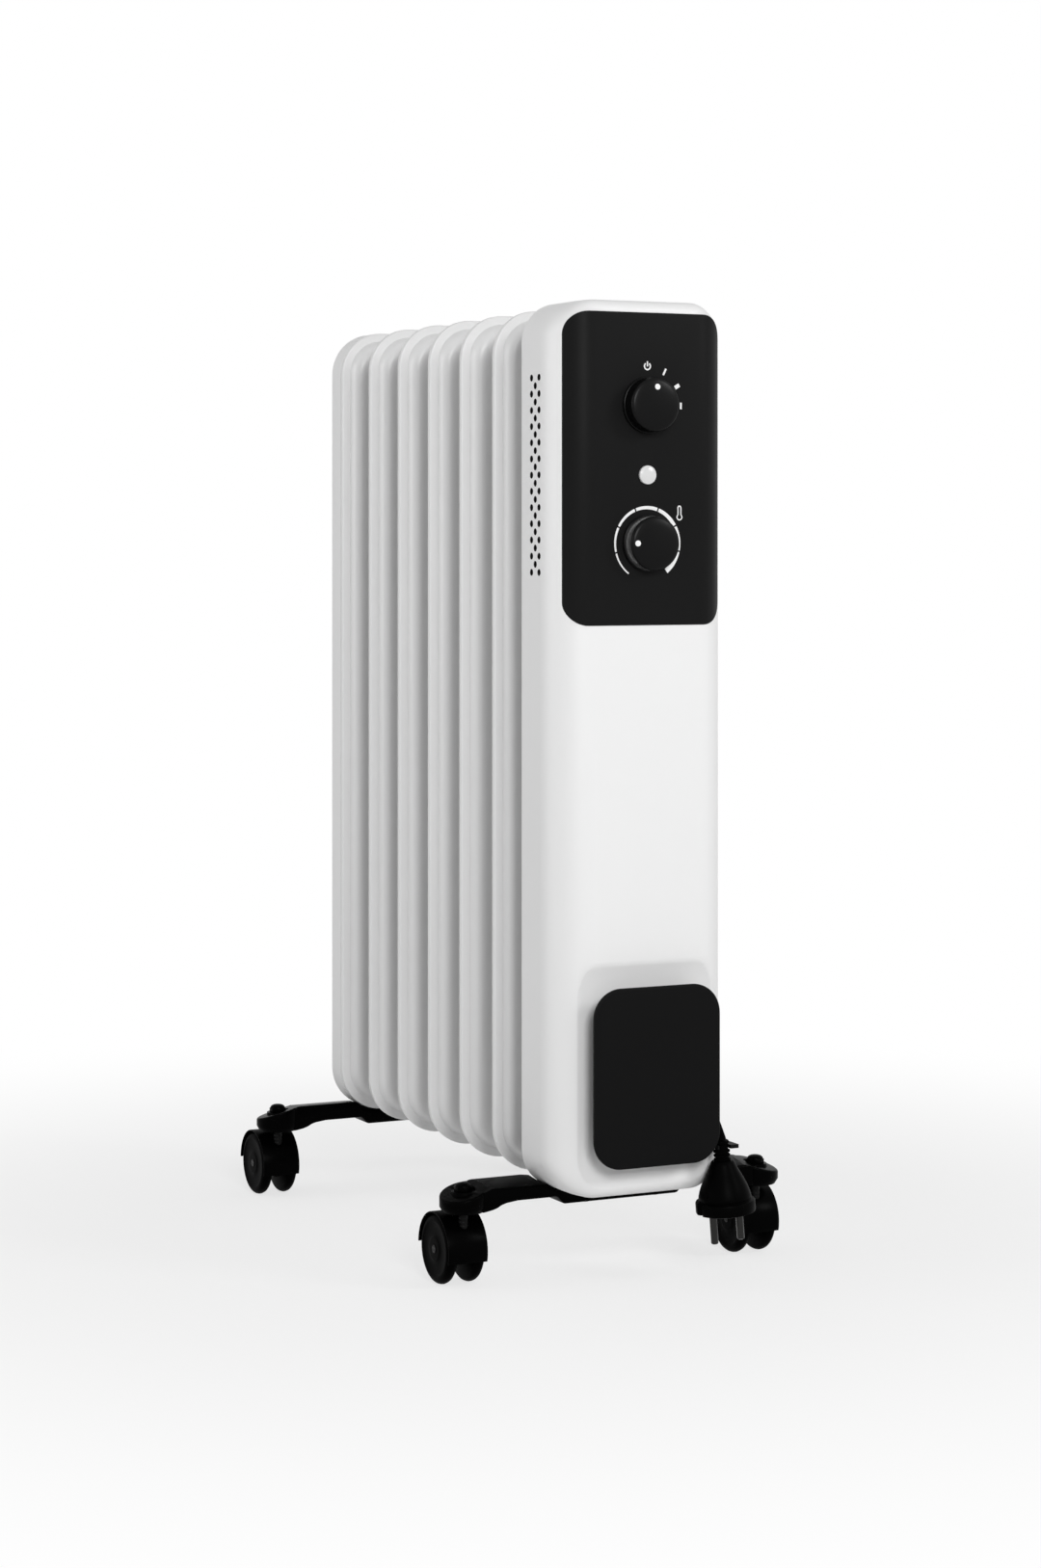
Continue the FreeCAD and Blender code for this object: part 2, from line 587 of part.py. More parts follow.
def vent_holes():
    holes = []
    reach = HOUSING_HALF_WIDTH + 2.0
    for side in (-1, 1):
        for row in range(2 * VENT_ROWS - 1):
            columns = (-1, 1) if row % 2 == 0 else (0,)
            for column in columns:
                place = VENT_DEPTH + column * VENT_COLUMN_PITCH
                z = VENT_LOW + row * VENT_PITCH / 2.0
                inner = side * (HOUSING_HALF_WIDTH - HOUSING_WALL - 3.0)
                holes.append(rod(VENT_RADIUS, point(inner, place, z), point(side * reach, place, z)))
    return Part.makeCompound(holes)


def winder_screw_heights():
    return COVER_MIDDLE - HUB_STRAIGHT, COVER_MIDDLE + HUB_STRAIGHT


def make_housing():
    thick_floor = box(-HOUSING_HALF_WIDTH, HOUSING_HALF_WIDTH, 0, HOUSING_INSIDE, HOUSING_LOW,
                      RECESS_HIGH + RECESS_BACKING)
    hollow = nose(HOUSING_WALL, HOUSING_DEPTH).cut(thick_floor)
    skirt = slab(HOUSING_HALF_WIDTH - SKIRT_WALL, HOUSING_LOW + SKIRT_WALL, HOUSING_HIGH - SKIRT_WALL,
                 HOUSING_CORNER - SKIRT_WALL, SKIRT_DEPTH, HOUSING_DEPTH)
    recess = slab(RECESS_HALF_WIDTH, RECESS_LOW, RECESS_HIGH, RECESS_CORNER, -1, RECESS_DEPTH)
    shell = nose(0.0, HOUSING_DEPTH).cut(hollow).cut(skirt).cut(recess).cut(panel_blank(SEAT_GAP / 2.0, 6.0))
    screw_end = HOUSING_INSIDE + SCREW_BOSS
    for z in winder_screw_heights():
        shell = shell.fuse(rod_y(SCREW_BOSS_RADIUS, 0, z, HOUSING_INSIDE - HOUSING_WALL / 2, screw_end))
    tools = [control_holes(-1, HOUSING_WALL + 1), vent_holes(),
             rod_y(CORD_RADIUS + SEAT_GAP, GLAND_X, EAR_MIDDLE, 0, HOUSING_INSIDE + 1)]
    tools += [rod_y(SCREW_RADIUS + FIXED_CLEAR, 0, z, 0, screw_end) for z in winder_screw_heights()]
    tools += bolt_holes(FRONT_BOLT_DEPTH)
    save("front_housing", [shell.cut(Part.makeCompound(tools)).removeSplitter()])


def make_panel():
    panel = panel_blank(0.0, PANEL_PROUD).cut(control_holes(-3, 3))
    save("control_panel", [panel.removeSplitter()])


# ---- controls ----

def make_knob(name, height):
    """Domed knob, turned from a stepped profile, with a blind hole for its shaft."""
    profile = [(0, KNOB_FRONT), (KNOB_RADIUS * 0.55, KNOB_FRONT + 0.5), (KNOB_RADIUS - KNOB_SHOULDER - 0.8,
               KNOB_FRONT + KNOB_DOME), (KNOB_RADIUS - 0.5, KNOB_FRONT + KNOB_DOME + KNOB_SHOULDER),
               (KNOB_RADIUS, KNOB_BACK), (0, KNOB_BACK)]
    ring = [point(radius, back, height) for radius, back in profile]
    knob = Part.Face(Part.makePolygon(ring + ring[:1])).revolve(point(0, 0, height), Y_DIR, 360)
    save(name, [knob.cut(rod_y(SHAFT_RADIUS + FIXED_CLEAR, 0, height, KNOB_BACK - SHAFT_IN_KNOB, KNOB_BACK))])


def make_shaft(name, height, body_back):
    save(name, [rod_y(SHAFT_RADIUS, 0, height, KNOB_BACK - SHAFT_IN_KNOB, body_back - SHAFT_END_GAP)])


def make_control_body(name, height, size):
    """Switch body with a bushing through the bracket, wall and panel; returns its rear depth."""
    width, length, tall = size
    back = PLATE_BACK + length
    body = box(-width / 2, width / 2, PLATE_BACK, back, height - tall / 2, height + tall / 2)
    body = body.fuse(rod_y(BUSHING_RADIUS, 0, height, -PANEL_PROUD, PLATE_BACK))
    bore = rod_y(SHAFT_RADIUS + RUN_CLEAR, 0, height, -PANEL_PROUD, back - 0.8 * SHAFT_END_GAP)
    save(name, [body.cut(bore).removeSplitter()])
    return back


def make_controls():
    selector_back = make_control_body("selector_body", SELECTOR_HEIGHT, SELECTOR_SIZE)
    thermostat_back = make_control_body("thermostat_body", THERMOSTAT_HEIGHT, THERMOSTAT_SIZE)
    make_shaft("selector_shaft", SELECTOR_HEIGHT, selector_back)
    make_shaft("thermostat_shaft", THERMOSTAT_HEIGHT, thermostat_back)
    make_knob("selector_knob", SELECTOR_HEIGHT)
    make_knob("thermostat_knob", THERMOSTAT_HEIGHT)
    save("lamp_lens", [rod_y(LENS_RADIUS, 0, LAMP_HEIGHT, -PANEL_PROUD - LENS_PROUD, PLATE_BACK)])
    save("lamp_body", [rod_y(LAMP_BODY_RADIUS, 0, LAMP_HEIGHT, PLATE_BACK, PLATE_BACK + LAMP_BODY_LENGTH)])
    plate = box(-PLATE_HALF_WIDTH, PLATE_HALF_WIDTH, HOUSING_WALL, PLATE_BACK, PLATE_LOW, PLATE_HIGH)
    save("switch_plate", [plate.cut(control_holes(HOUSING_WALL - 1, PLATE_BACK + 1))])
    return selector_back, thermostat_back


# ---- heat shield, element and small internal parts ----

def dish(spread, flat_depth):
    """Shallow dish that follows the first fin's front bulge, opening towards the back."""
    wires = []
    for across, height in PILLOW:
        margin = FIN_LAND - spread + across
        wires.append(outline(FIN_HALF_WIDTH - margin, FIN_LOW + margin, FIN_HIGH - margin,
                             FIN_CORNER - margin, flat_depth - height * (1 + SHIELD_RISE / PILLOW[-1][1])))
    return loft(wires)


def make_shield():
    edge = SHIELD_SET_BACK
    flange_front = SHIELD_BACK - SHIELD_THICKNESS
    flange = slab(FIN_HALF_WIDTH - edge, FIN_LOW + edge, FIN_HIGH - edge, FIN_CORNER - edge, flange_front,
                  SHIELD_BACK)
    solid = flange.fuse(dish(SHIELD_RISE + SHIELD_THICKNESS, flange_front))
    tools = [dish(SHIELD_RISE, SHIELD_BACK),
             rod_y(SHIELD_PORT_RADIUS, 0, HEADER_LOW, SHIELD_FACE - 1, SHIELD_BACK),
             rod_y(FILLER_HEX + 1.0, 0, HEADER_HIGH, SHIELD_FACE - 1, SHIELD_BACK)]
    save("heat_shield", [solid.cut(Part.makeCompound(tools)).removeSplitter()])


def hairpin(x):
    """One heating tube: two legs joined by a half turn, and a thin terminal on each leg's front end."""
    turn = LAST_FIN_DEPTH - ELEMENT_END_MARGIN
    solids = []
    for side in (-1, 1):
        z = HEADER_LOW + side * ELEMENT_SPREAD
        solids.append(rod_y(ELEMENT_RADIUS, x, z, FLANGE_FACE, turn))
        solids.append(rod_y(TERMINAL_RADIUS, x, z, FLANGE_FACE - TERMINAL_LENGTH, FLANGE_FACE))
    ring = Part.Circle(point(x, turn, HEADER_LOW - ELEMENT_SPREAD), Y_DIR, ELEMENT_RADIUS).toShape()
    solids.append(Part.Face(Part.Wire([ring])).revolve(point(x, turn, HEADER_LOW), X_DIR, 180))
    return fuse(solids)


def make_element():
    back = FLANGE_FACE + FLANGE_THICKNESS
    holes = [rod_y(ELEMENT_RADIUS + FIXED_CLEAR, sx * ELEMENT_SPREAD, HEADER_LOW + sz * ELEMENT_SPREAD,
                   FLANGE_FACE, back) for sx in (-1, 1) for sz in (-1, 1)]
    flange = rod_y(FLANGE_RADIUS, 0, HEADER_LOW, FLANGE_FACE, back)
    save("element_flange", [flange.cut(Part.makeCompound(holes))])
    save("heating_element", [hairpin(-ELEMENT_SPREAD), hairpin(ELEMENT_SPREAD)])


def hexagon(radius, x, z, d_low, d_high):
    corners = [point(x + radius * math.cos(math.radians(a)), d_low, z + radius * math.sin(math.radians(a)))
               for a in range(0, 301, 60)]
    return Part.Face(Part.makePolygon(corners + corners[:1])).extrude(Vec(0, d_high - d_low, 0))


def make_filler_plug():
    head = hexagon(FILLER_HEX, 0, HEADER_HIGH, FIN_1_FACE - FILLER_HEAD, FIN_1_FACE)
    shank = rod_y(FILLER_RADIUS, 0, HEADER_HIGH, FIN_1_FACE, FIN_1_FACE + FILLER_SHANK)
    save("oil_filler_plug", [head.fuse(shank)])


def make_tilt_switch():
    """Closed case with a cross pin, and the pendulum that swings on it."""
    width, length, tall = TILT_SIZE
    half, wall = width / 2.0, TILT_WALL
    front, back = HOUSING_INSIDE, HOUSING_INSIDE + length
    case = box(TILT_X - half, TILT_X + half, front, back, TILT_LOW, TILT_LOW + tall)
    hollow = box(TILT_X - half + wall, TILT_X + half - wall, front + wall, back - wall, TILT_LOW + wall,
                 TILT_LOW + tall - wall)
    pin = rod_x(TILT_PIN_RADIUS, TILT_X - half + wall / 2, TILT_X + half - wall / 2, TILT_MIDDLE, TILT_PIVOT)
    save("tilt_switch_case", [case.cut(hollow).fuse(pin)])
    bob_z = TILT_PIVOT - TILT_ARM
    arm_x, arm_y = TILT_ARM_HALF
    arm = box(TILT_X - arm_x, TILT_X + arm_x, TILT_MIDDLE - arm_y, TILT_MIDDLE + arm_y, bob_z, TILT_PIVOT)
    eye = rod_x(TILT_EYE_RADIUS, TILT_X - arm_x, TILT_X + arm_x, TILT_MIDDLE, TILT_PIVOT)
    bob = rod_x(TILT_BOB_RADIUS, TILT_X - TILT_BOB_HALF, TILT_X + TILT_BOB_HALF, TILT_MIDDLE, bob_z)
    hole = rod_x(TILT_PIN_RADIUS + RUN_CLEAR, TILT_X - half, TILT_X + half, TILT_MIDDLE, TILT_PIVOT)
    save("tilt_pendulum", [fuse([arm, eye, bob]).cut(hole)])


def make_wiring(selector_back, thermostat_back):
    """Inner mains lead to the terminal block, and single wires on to the controls, element and cut-out."""
    width, length, tall = BLOCK_SIZE
    lane, top, entry = HOUSING_INSIDE + length / 2.0, BLOCK_LOW + tall, BLOCK_LOW + tall / 2.0
    mains = pipe([point(GLAND_X, RECESS_DEPTH, EAR_MIDDLE), point(GLAND_X, lane, EAR_MIDDLE),
                  point(GLAND_X - CORD_RADIUS * 2, lane, entry), point(width / 2, lane, entry)],
                 CORD_RADIUS - MAINS_THINNING)
    low = THERMOSTAT_HEIGHT - THERMOSTAT_SIZE[2]
    climb = (top + low) / 2.0
    turn_back, heat_back = selector_back + WIRE_TAIL, thermostat_back + WIRE_TAIL
    inner = SELECTOR_SIZE[0] * 0.4
    ends = FLANGE_FACE - TERMINAL_LENGTH
    far, joint_z = ends - WIRE_TAIL, HEADER_LOW + ELEMENT_SPREAD
    drop = BLOCK_LOW - WIRE_DROP
    nose_depth = SHIELD_FACE - CUTOUT_LENGTH / 2.0
    runs = [
        [point(-WIRE_LANE, lane, top), point(-WIRE_LANE, lane, climb), point(-WIRE_LANE, turn_back, low),
         point(-WIRE_LANE, turn_back, LAMP_HEIGHT), point(-inner, turn_back, SELECTOR_HEIGHT),
         point(-inner, selector_back, SELECTOR_HEIGHT)],
        [point(inner, lane, top), point(inner, lane, climb), point(inner, heat_back, low),
         point(inner, heat_back, THERMOSTAT_HEIGHT), point(inner, thermostat_back, THERMOSTAT_HEIGHT)],
        [point(-ELEMENT_SPREAD, lane, BLOCK_LOW), point(-ELEMENT_SPREAD, lane, drop),
         point(-ELEMENT_SPREAD, far, (drop + joint_z) / 2.0), point(-ELEMENT_SPREAD, far, joint_z),
         point(-ELEMENT_SPREAD, ends, joint_z)],
        [point(inner, lane, BLOCK_LOW), point(inner, lane, drop),
         point(CUTOUT_X, nose_depth, CUTOUT_Z + 2.5 * CUTOUT_RADIUS),
         point(CUTOUT_X, nose_depth, CUTOUT_Z + CUTOUT_RADIUS)],
    ]
    save("wiring_harness", [mains] + [pipe(run, WIRE_RADIUS, WIRE_BEND) for run in runs])


def make_small_internals():
    width, length, tall = BLOCK_SIZE
    block = box(-width / 2, width / 2, HOUSING_INSIDE, HOUSING_INSIDE + length, BLOCK_LOW, BLOCK_LOW + tall)
    save("terminal_block", [block])
    cutout = rod_y(CUTOUT_RADIUS, CUTOUT_X, CUTOUT_Z, SHIELD_FACE - CUTOUT_LENGTH, SHIELD_FACE)
    save("thermal_cutout", [cutout])


# ---- winder, lead and plug ----

def racetrack(half_width, d_low, d_high):
    """Upright slot shape about the winder's middle."""
    high = HUB_STRAIGHT + half_width
    return slab(half_width, COVER_MIDDLE - high, COVER_MIDDLE + high, half_width - 0.01, d_low, d_high)


def make_winder():
    hub = racetrack(HUB_HALF_WIDTH, COVER_BACK, RECESS_DEPTH)
    ear = box(GLAND_X - EAR_HALF_WIDTH, GLAND_X + EAR_HALF_WIDTH, -EAR_STANDOFF, RECESS_DEPTH,
              EAR_LOW, EAR_HIGH)
    foot_front = RECESS_DEPTH - FORK_FOOT_BACK
    foot = box(NECK_X - FORK_FOOT_INWARD[0], NECK_X - FORK_FOOT_INWARD[1], foot_front, RECESS_DEPTH,
               FORK_LOW - FORK_FOOT_BELOW, FORK_HIGH + FORK_FOOT_ABOVE)
    fork = box(NECK_X - FORK_INWARD, NECK_X + FORK_OUTWARD, -FORK_STANDOFF, foot_front, FORK_LOW, FORK_HIGH)
    half = FORK_SLOT / 2.0
    floor = RECESS_DEPTH - HUB_FLOOR
    hub_tools = [racetrack(HUB_HALF_WIDTH - HUB_WALL, COVER_BACK - 1, floor)]
    for z in winder_screw_heights():
        hub_tools.append(rod_y(SCREW_RADIUS + FIXED_CLEAR, 0, z, floor, RECESS_DEPTH))
    ear_tools = [rod_z(GLAND_ROOT_RADIUS + FIXED_CLEAR, GLAND_X, GLAND_DEPTH, EAR_LOW - 1, GLAND_HIGH),
                 rod_y(CORD_RADIUS, GLAND_X, EAR_MIDDLE, GLAND_DEPTH, RECESS_DEPTH)]
    fork_tools = [rod_z(half, NECK_X, PLUG_DEPTH, FORK_LOW, FORK_HIGH),
                  box(NECK_X - half, NECK_X + half, -FORK_STANDOFF, PLUG_DEPTH, FORK_LOW, FORK_HIGH)]
    save("cord_winder", [hub.cut(Part.makeCompound(hub_tools)), ear.cut(Part.makeCompound(ear_tools)),
                         fork.cut(Part.makeCompound(fork_tools)).fuse(foot).removeSplitter()])


def make_winder_cover():
    plate = slab(COVER_HALF_WIDTH, COVER_LOW, COVER_HIGH, COVER_CORNER, -COVER_STANDOFF, COVER_BACK)
    front_rim = [edge for edge in plate.Edges if edge.BoundBox.YMax < depth(-COVER_STANDOFF) + 1e-6]
    plate = plate.makeFillet(COVER_SOFT_EDGE, front_rim)
    peg = racetrack(HUB_HALF_WIDTH - HUB_WALL - SEAT_GAP, COVER_BACK, COVER_BACK + COVER_PEG)
    save("winder_cover", [plate.fuse(peg).removeSplitter()])


def make_screws():
    """Two screws hold the winder to the housing and two hold the rear cover to its studs."""
    floor = RECESS_DEPTH - HUB_FLOOR
    screws = []
    for z in winder_screw_heights():
        shank = rod_y(SCREW_RADIUS, 0, z, floor, HOUSING_INSIDE + SCREW_BOSS - SCREW_END_GAP)
        screws.append(shank.fuse(rod_y(SCREW_HEAD_RADIUS, 0, z, floor - SCREW_HEAD, floor)))
    for z in rear_stud_heights():
        shank = rod_y(SCREW_RADIUS, 0, z, LAST_FIN_DEPTH + FIN_BULGE + SCREW_END_GAP, REAR_COVER_BACK)
        head = rod_y(SCREW_HEAD_RADIUS, 0, z, REAR_COVER_BACK, REAR_COVER_BACK + SCREW_HEAD)
        screws.append(shank.fuse(head))
    save("housing_screws", screws)


def make_gland():
    root = rod_z(GLAND_ROOT_RADIUS, GLAND_X, GLAND_DEPTH, EAR_LOW, GLAND_HIGH)
    taper = Part.makeCone(GLAND_TIP_RADIUS, GLAND_ROOT_RADIUS, EAR_LOW - GLAND_LOW,
                          point(GLAND_X, GLAND_DEPTH, GLAND_LOW), Z_DIR)
    save("cord_gland", [fuse([root, taper])])


def plug_point(along, across=0.0):
    """Point in the plug's own frame: so far up its axis from the flange, so far along its pin line."""
    lean = math.radians(PLUG_LEAN)
    return point(PLUG_X - along * math.sin(lean) + across * math.cos(lean), PLUG_DEPTH,
                 PLUG_Z + along * math.cos(lean) + across * math.sin(lean))


def plug_turned(profile):
    """Solid of revolution about the plug's axis from (along, radius) points."""
    ring = [plug_point(along, radius) for along, radius in profile]
    axis = plug_point(1).sub(plug_point(0))
    return Part.Face(Part.makePolygon(ring + ring[:1])).revolve(plug_point(0), axis, 360)


def make_plug():
    """Straight two-pin plug hanging from the fork with its pins down."""
    low, high = -PLUG_FLANGE / 2.0, PLUG_FLANGE / 2.0
    shoulder = [(high + share * (PLUG_CONE_TOP - high), radius * PLUG_FLANGE_RADIUS)
                for radius, share in PLUG_SHOULDER]
    body = plug_turned([(low, 0), (low, PLUG_FLANGE_RADIUS), (high, PLUG_FLANGE_RADIUS)] + shoulder
                       + [(PLUG_CONE_TOP, 0)])
    pins = []
    for side in (-1, 1):
        across = side * PLUG_PIN_PITCH / 2.0
        tip = low - PLUG_PIN_LENGTH
        foot, end = plug_point(low, across), plug_point(low + PLUG_PIN_ROOT, across)
        pin = rod(PLUG_PIN_RADIUS, plug_point(tip, across), foot).fuse(rod(PLUG_PIN_ROOT_RADIUS, foot, end))
        edge = side * PLUG_FLANGE_RADIUS
        notch = rod(PLUG_NOTCH_RADIUS, plug_point(low - 1, edge), plug_point(high, edge))
        body = body.cut(rod(PLUG_PIN_ROOT_RADIUS + FIXED_CLEAR, foot, end)).cut(notch)
        pins.append(pin)
    save("plug_body", [body])
    save("plug_pins", pins)
    relief = [(PLUG_CONE_TOP, 0)]
    for rib in range(3):
        start = PLUG_CONE_TOP + rib * RELIEF_RIB_PITCH
        relief += [(start, RELIEF_RIB_RADIUS), (start + RELIEF_RIB, RELIEF_RIB_RADIUS),
                   (start + RELIEF_RIB, RELIEF_RADIUS), (start + RELIEF_RIB_PITCH, RELIEF_RADIUS)]
    relief = relief[:-1] + [(PLUG_NECK_LOW, RELIEF_RADIUS), (PLUG_NECK_LOW, RELIEF_NECK_RADIUS),
                            (PLUG_NECK_HIGH, RELIEF_NECK_RADIUS), (PLUG_NECK_HIGH, RELIEF_BEAD_RADIUS),
                            (PLUG_RELIEF_TOP, RELIEF_BEAD_RADIUS), (PLUG_RELIEF_TOP, 0)]
    save("plug_strain_relief", [plug_turned(relief)])


def make_cord():
    coil = racetrack(COIL_OUTER, COIL_FRONT, COIL_BACK).cut(racetrack(COIL_INNER, COIL_FRONT, COIL_BACK))
    save("cord_coil", [coil])
    tip = point(GLAND_X, GLAND_DEPTH, GLAND_LOW)
    side = point(COIL_OUTER - CORD_RADIUS, 0, COVER_MIDDLE)
    lead = [tip] + [tip + Vec(*place) for place in LEAD_ROUTE]
    tail = [side + Vec(*place) for place in TAIL_ROUTE] + [plug_point(PLUG_RELIEF_TOP)]
    save("cord_lead", [pipe(lead, CORD_RADIUS)])
    save("cord_tail", [pipe(tail, CORD_RADIUS)])


# ---- foot bars and casters ----

def bolt_holes(back):
    return [rod_z(BOLT_RADIUS + FIXED_CLEAR, side * BOLT_X, back, BOSS_LOW, FOOT_TOP) for side in (-1, 1)]


def bolt_recesses(back):
    radius = BOLT_HEAD_RADIUS + FIXED_CLEAR
    return [rod_z(radius, side * BOLT_X, back, BOSS_LOW, BOLT_SEAT) for side in (-1, 1)]


def above_slope(back, out, fall):
    """Everything over a plane that falls across a foot bar towards its outer side; out is 1 to the rear."""
    reach = 2 * BOSS_RADIUS
    middle = FOOT_TOP - fall / 2.0
    ceiling = FOOT_TOP + 2 * fall
    corners = [point(-2 * STEM_X, back - out * reach, middle + fall),
               point(-2 * STEM_X, back + out * reach, middle - fall),
               point(-2 * STEM_X, back + out * reach, ceiling),
               point(-2 * STEM_X, back - out * reach, ceiling)]
    return Part.Face(Part.makePolygon(corners + corners[:1])).extrude(Vec(4 * STEM_X, 0, 0))


def make_boss(x, back, out):
    """Round end of a foot bar: tapered below, with a sloping top and a flat seat for the cap nut."""
    drum = rod_z(BOSS_RADIUS, x, back, BOSS_LOW + BOSS_TAPER, FOOT_TOP).cut(above_slope(back, out, BOSS_FALL))
    taper = Part.makeCone(BOSS_FOOT_RADIUS, BOSS_RADIUS, BOSS_TAPER, point(x, back, BOSS_LOW), Z_DIR)
    pad = rod_z(NUT_SEAT_RADIUS, x, back, BOSS_LOW + BOSS_TAPER, NUT_SEAT)
    return drum.fuse(taper).fuse(pad).cut(rod_z(NUT_SEAT_RADIUS, x, back, NUT_SEAT, FOOT_TOP))


def make_foot(name, back, out, body, bolt_depth):
    """One bar: a stepped beam under the body with a boss at each end; body is its seat's outline."""
    half_width, low, corner = body
    right = [(share * STEM_X, BOSS_LOW + rise) for share, rise in FOOT_UNDERSIDE]
    right.append((right[-1][0], FOOT_TOP))
    left = [(-x, z) for x, z in reversed(right[1:])]
    ring = [point(x, back - FOOT_HALF_DEPTH, z) for x, z in left + right]
    bar = Part.Face(Part.makePolygon(ring + ring[:1])).extrude(Vec(0, 2 * FOOT_HALF_DEPTH, 0))
    seat = slab(half_width + FOOT_SIDE_GAP, low, FIN_HIGH, corner + FOOT_SIDE_GAP, back - 2 * FOOT_HALF_DEPTH,
                back + 2 * FOOT_HALF_DEPTH)
    bar = bar.cut(above_slope(back, out, FOOT_FALL))
    for side in (-1, 1):
        scoop = rod_z(BOSS_RADIUS + BOSS_SCOOP, side * STEM_X, back, BOSS_LOW, FOOT_TOP)
        bar = bar.cut(scoop.common(above_slope(back, out, BOSS_FALL)))
        bar = bar.cut(rod_z(NUT_SEAT_RADIUS, side * STEM_X, back, NUT_SEAT, FOOT_TOP))
    foot = fuse([bar, make_boss(-STEM_X, back, out), make_boss(STEM_X, back, out)]).cut(seat)
    tools = bolt_holes(bolt_depth) + bolt_recesses(bolt_depth)
    tools += [rod_z(STEM_RADIUS + FIXED_CLEAR, side * STEM_X, back, BOSS_LOW, FOOT_TOP) for side in (-1, 1)]
    save(name, [foot.cut(Part.makeCompound(tools)).removeSplitter()])


def hex_nut(radius, x, back, z_low, height):
    corners = [point(x + radius * math.cos(math.radians(a)), back + radius * math.sin(math.radians(a)), z_low)
               for a in range(0, 301, 60)]
    return Part.Face(Part.makePolygon(corners + corners[:1])).extrude(Vec(0, 0, height))


def make_foot_bolts():
    """Bolts up through the bars, each with its nut inside the body."""
    solids = []
    rows = ((FRONT_BOLT_DEPTH, HOUSING_LOW + HOUSING_WALL), (REAR_BOLT_DEPTH, FIN_LOW + REAR_COVER_WALL))
    for back, seat in rows:
        for side in (-1, 1):
            x = side * BOLT_X
            bolt = rod_z(BOLT_RADIUS, x, back, BOLT_SEAT, seat + BOLT_NUT)
            head = rod_z(BOLT_HEAD_RADIUS, x, back, BOLT_SEAT - BOLT_HEAD, BOLT_SEAT)
            solids.append(bolt.fuse(head))
            nut = hex_nut(BOLT_HEAD_RADIUS, x, back, seat, BOLT_NUT)
            solids.append(nut.cut(rod_z(BOLT_RADIUS + FIXED_CLEAR, x, back, seat, seat + BOLT_NUT)))
    save("foot_bolts", solids)


def caster_places():
    for row, back in (("front", FRONT_FOOT_DEPTH), ("rear", REAR_FOOT_DEPTH)):
        for hand, side in (("left", -1), ("right", 1)):
            yield "%s_%s" % (row, hand), side * STEM_X, back


def make_stems():
    stems, nuts = [], []
    top = NUT_SEAT + STEM_IN_NUT
    for _, x, back in caster_places():
        stems.append(rod_z(STEM_RADIUS, x, back, STEM_LOW, top))
        dome_rise = CAP_NUT_HEIGHT - CAP_NUT_HEX
        dome_radius = CAP_NUT_RADIUS * 0.86
        ball_radius = (dome_radius ** 2 + dome_rise ** 2) / (2 * dome_rise)
        ball = Part.makeSphere(ball_radius, point(x, back, NUT_SEAT + CAP_NUT_HEIGHT - ball_radius))
        dome = ball.common(rod_z(dome_radius, x, back, NUT_SEAT + CAP_NUT_HEX, NUT_SEAT + CAP_NUT_HEIGHT))
        nut = hex_nut(CAP_NUT_RADIUS, x, back, NUT_SEAT, CAP_NUT_HEX).fuse(dome)
        nuts.append(nut.cut(rod_z(STEM_RADIUS + FIXED_CLEAR, x, back, NUT_SEAT, top)).removeSplitter())
    save("caster_stems", stems)
    save("cap_nuts", nuts)


def hood_sector(x, axle):
    """Wedge round the axle that the hood's shell fills, wider than the hood."""
    reach = 3 * WHEEL_RADIUS
    middle = (HOOD_FRONT_ANGLE + HOOD_BACK_ANGLE) / 2.0
    start = x - 2 * HOOD_HALF_WIDTH
    corners = [point(start, axle, WHEEL_Z)]
    for angle in (HOOD_FRONT_ANGLE, middle, HOOD_BACK_ANGLE):
        turn = math.radians(angle)
        corners.append(point(start, axle - reach * math.cos(turn), WHEEL_Z + reach * math.sin(turn)))
    return Part.Face(Part.makePolygon(corners + corners[:1])).extrude(Vec(4 * HOOD_HALF_WIDTH, 0, 0))


def make_hood(name, x, back):
    """Hood over the top and front of both wheels, and the web between them that turns on the stem."""
    axle = back + CASTER_TRAIL
    sector = hood_sector(x, axle)
    drum = rod_x(HOOD_OUTER, x - HOOD_HALF_WIDTH, x + HOOD_HALF_WIDTH, axle, WHEEL_Z)
    hollow = rod_x(HOOD_INNER, x - HOOD_HALF_WIDTH, x + HOOD_HALF_WIDTH, axle, WHEEL_Z)
    shell = drum.cut(hollow).common(sector)
    web = rod_x(HOOD_OUTER, x - WEB_HALF_WIDTH, x + WEB_HALF_WIDTH, axle, WHEEL_Z).common(sector)
    core = rod_x(WEB_RADIUS, x - WEB_HALF_WIDTH, x + WEB_HALF_WIDTH, axle, WHEEL_Z)
    stem_hole = rod_z(STEM_RADIUS + RUN_CLEAR, x, back, STEM_LOW - SEAT_GAP, BOSS_LOW)
    axle_hole = rod_x(AXLE_RADIUS + FIXED_CLEAR, x - HOOD_HALF_WIDTH, x + HOOD_HALF_WIDTH, axle, WHEEL_Z)
    save(name, [fuse([shell, web, core]).cut(stem_hole).cut(axle_hole).removeSplitter()])


def make_wheel(name, x, side, axle):
    """Wheel turned from a profile that slopes away from its twin towards the tread."""
    bore = AXLE_RADIUS + RUN_CLEAR
    tread = [(WHEEL_RADIUS - short, across) for short, across in WHEEL_PROFILE]
    profile = [(bore, 0.0)] + tread + [(bore, tread[-1][1])]
    ring = [point(x + side * (WHEEL_INNER_FACE + across), axle, WHEEL_Z + radius)
            for radius, across in profile]
    save(name, [Part.Face(Part.makePolygon(ring + ring[:1])).revolve(point(x, axle, WHEEL_Z), X_DIR, 360)])


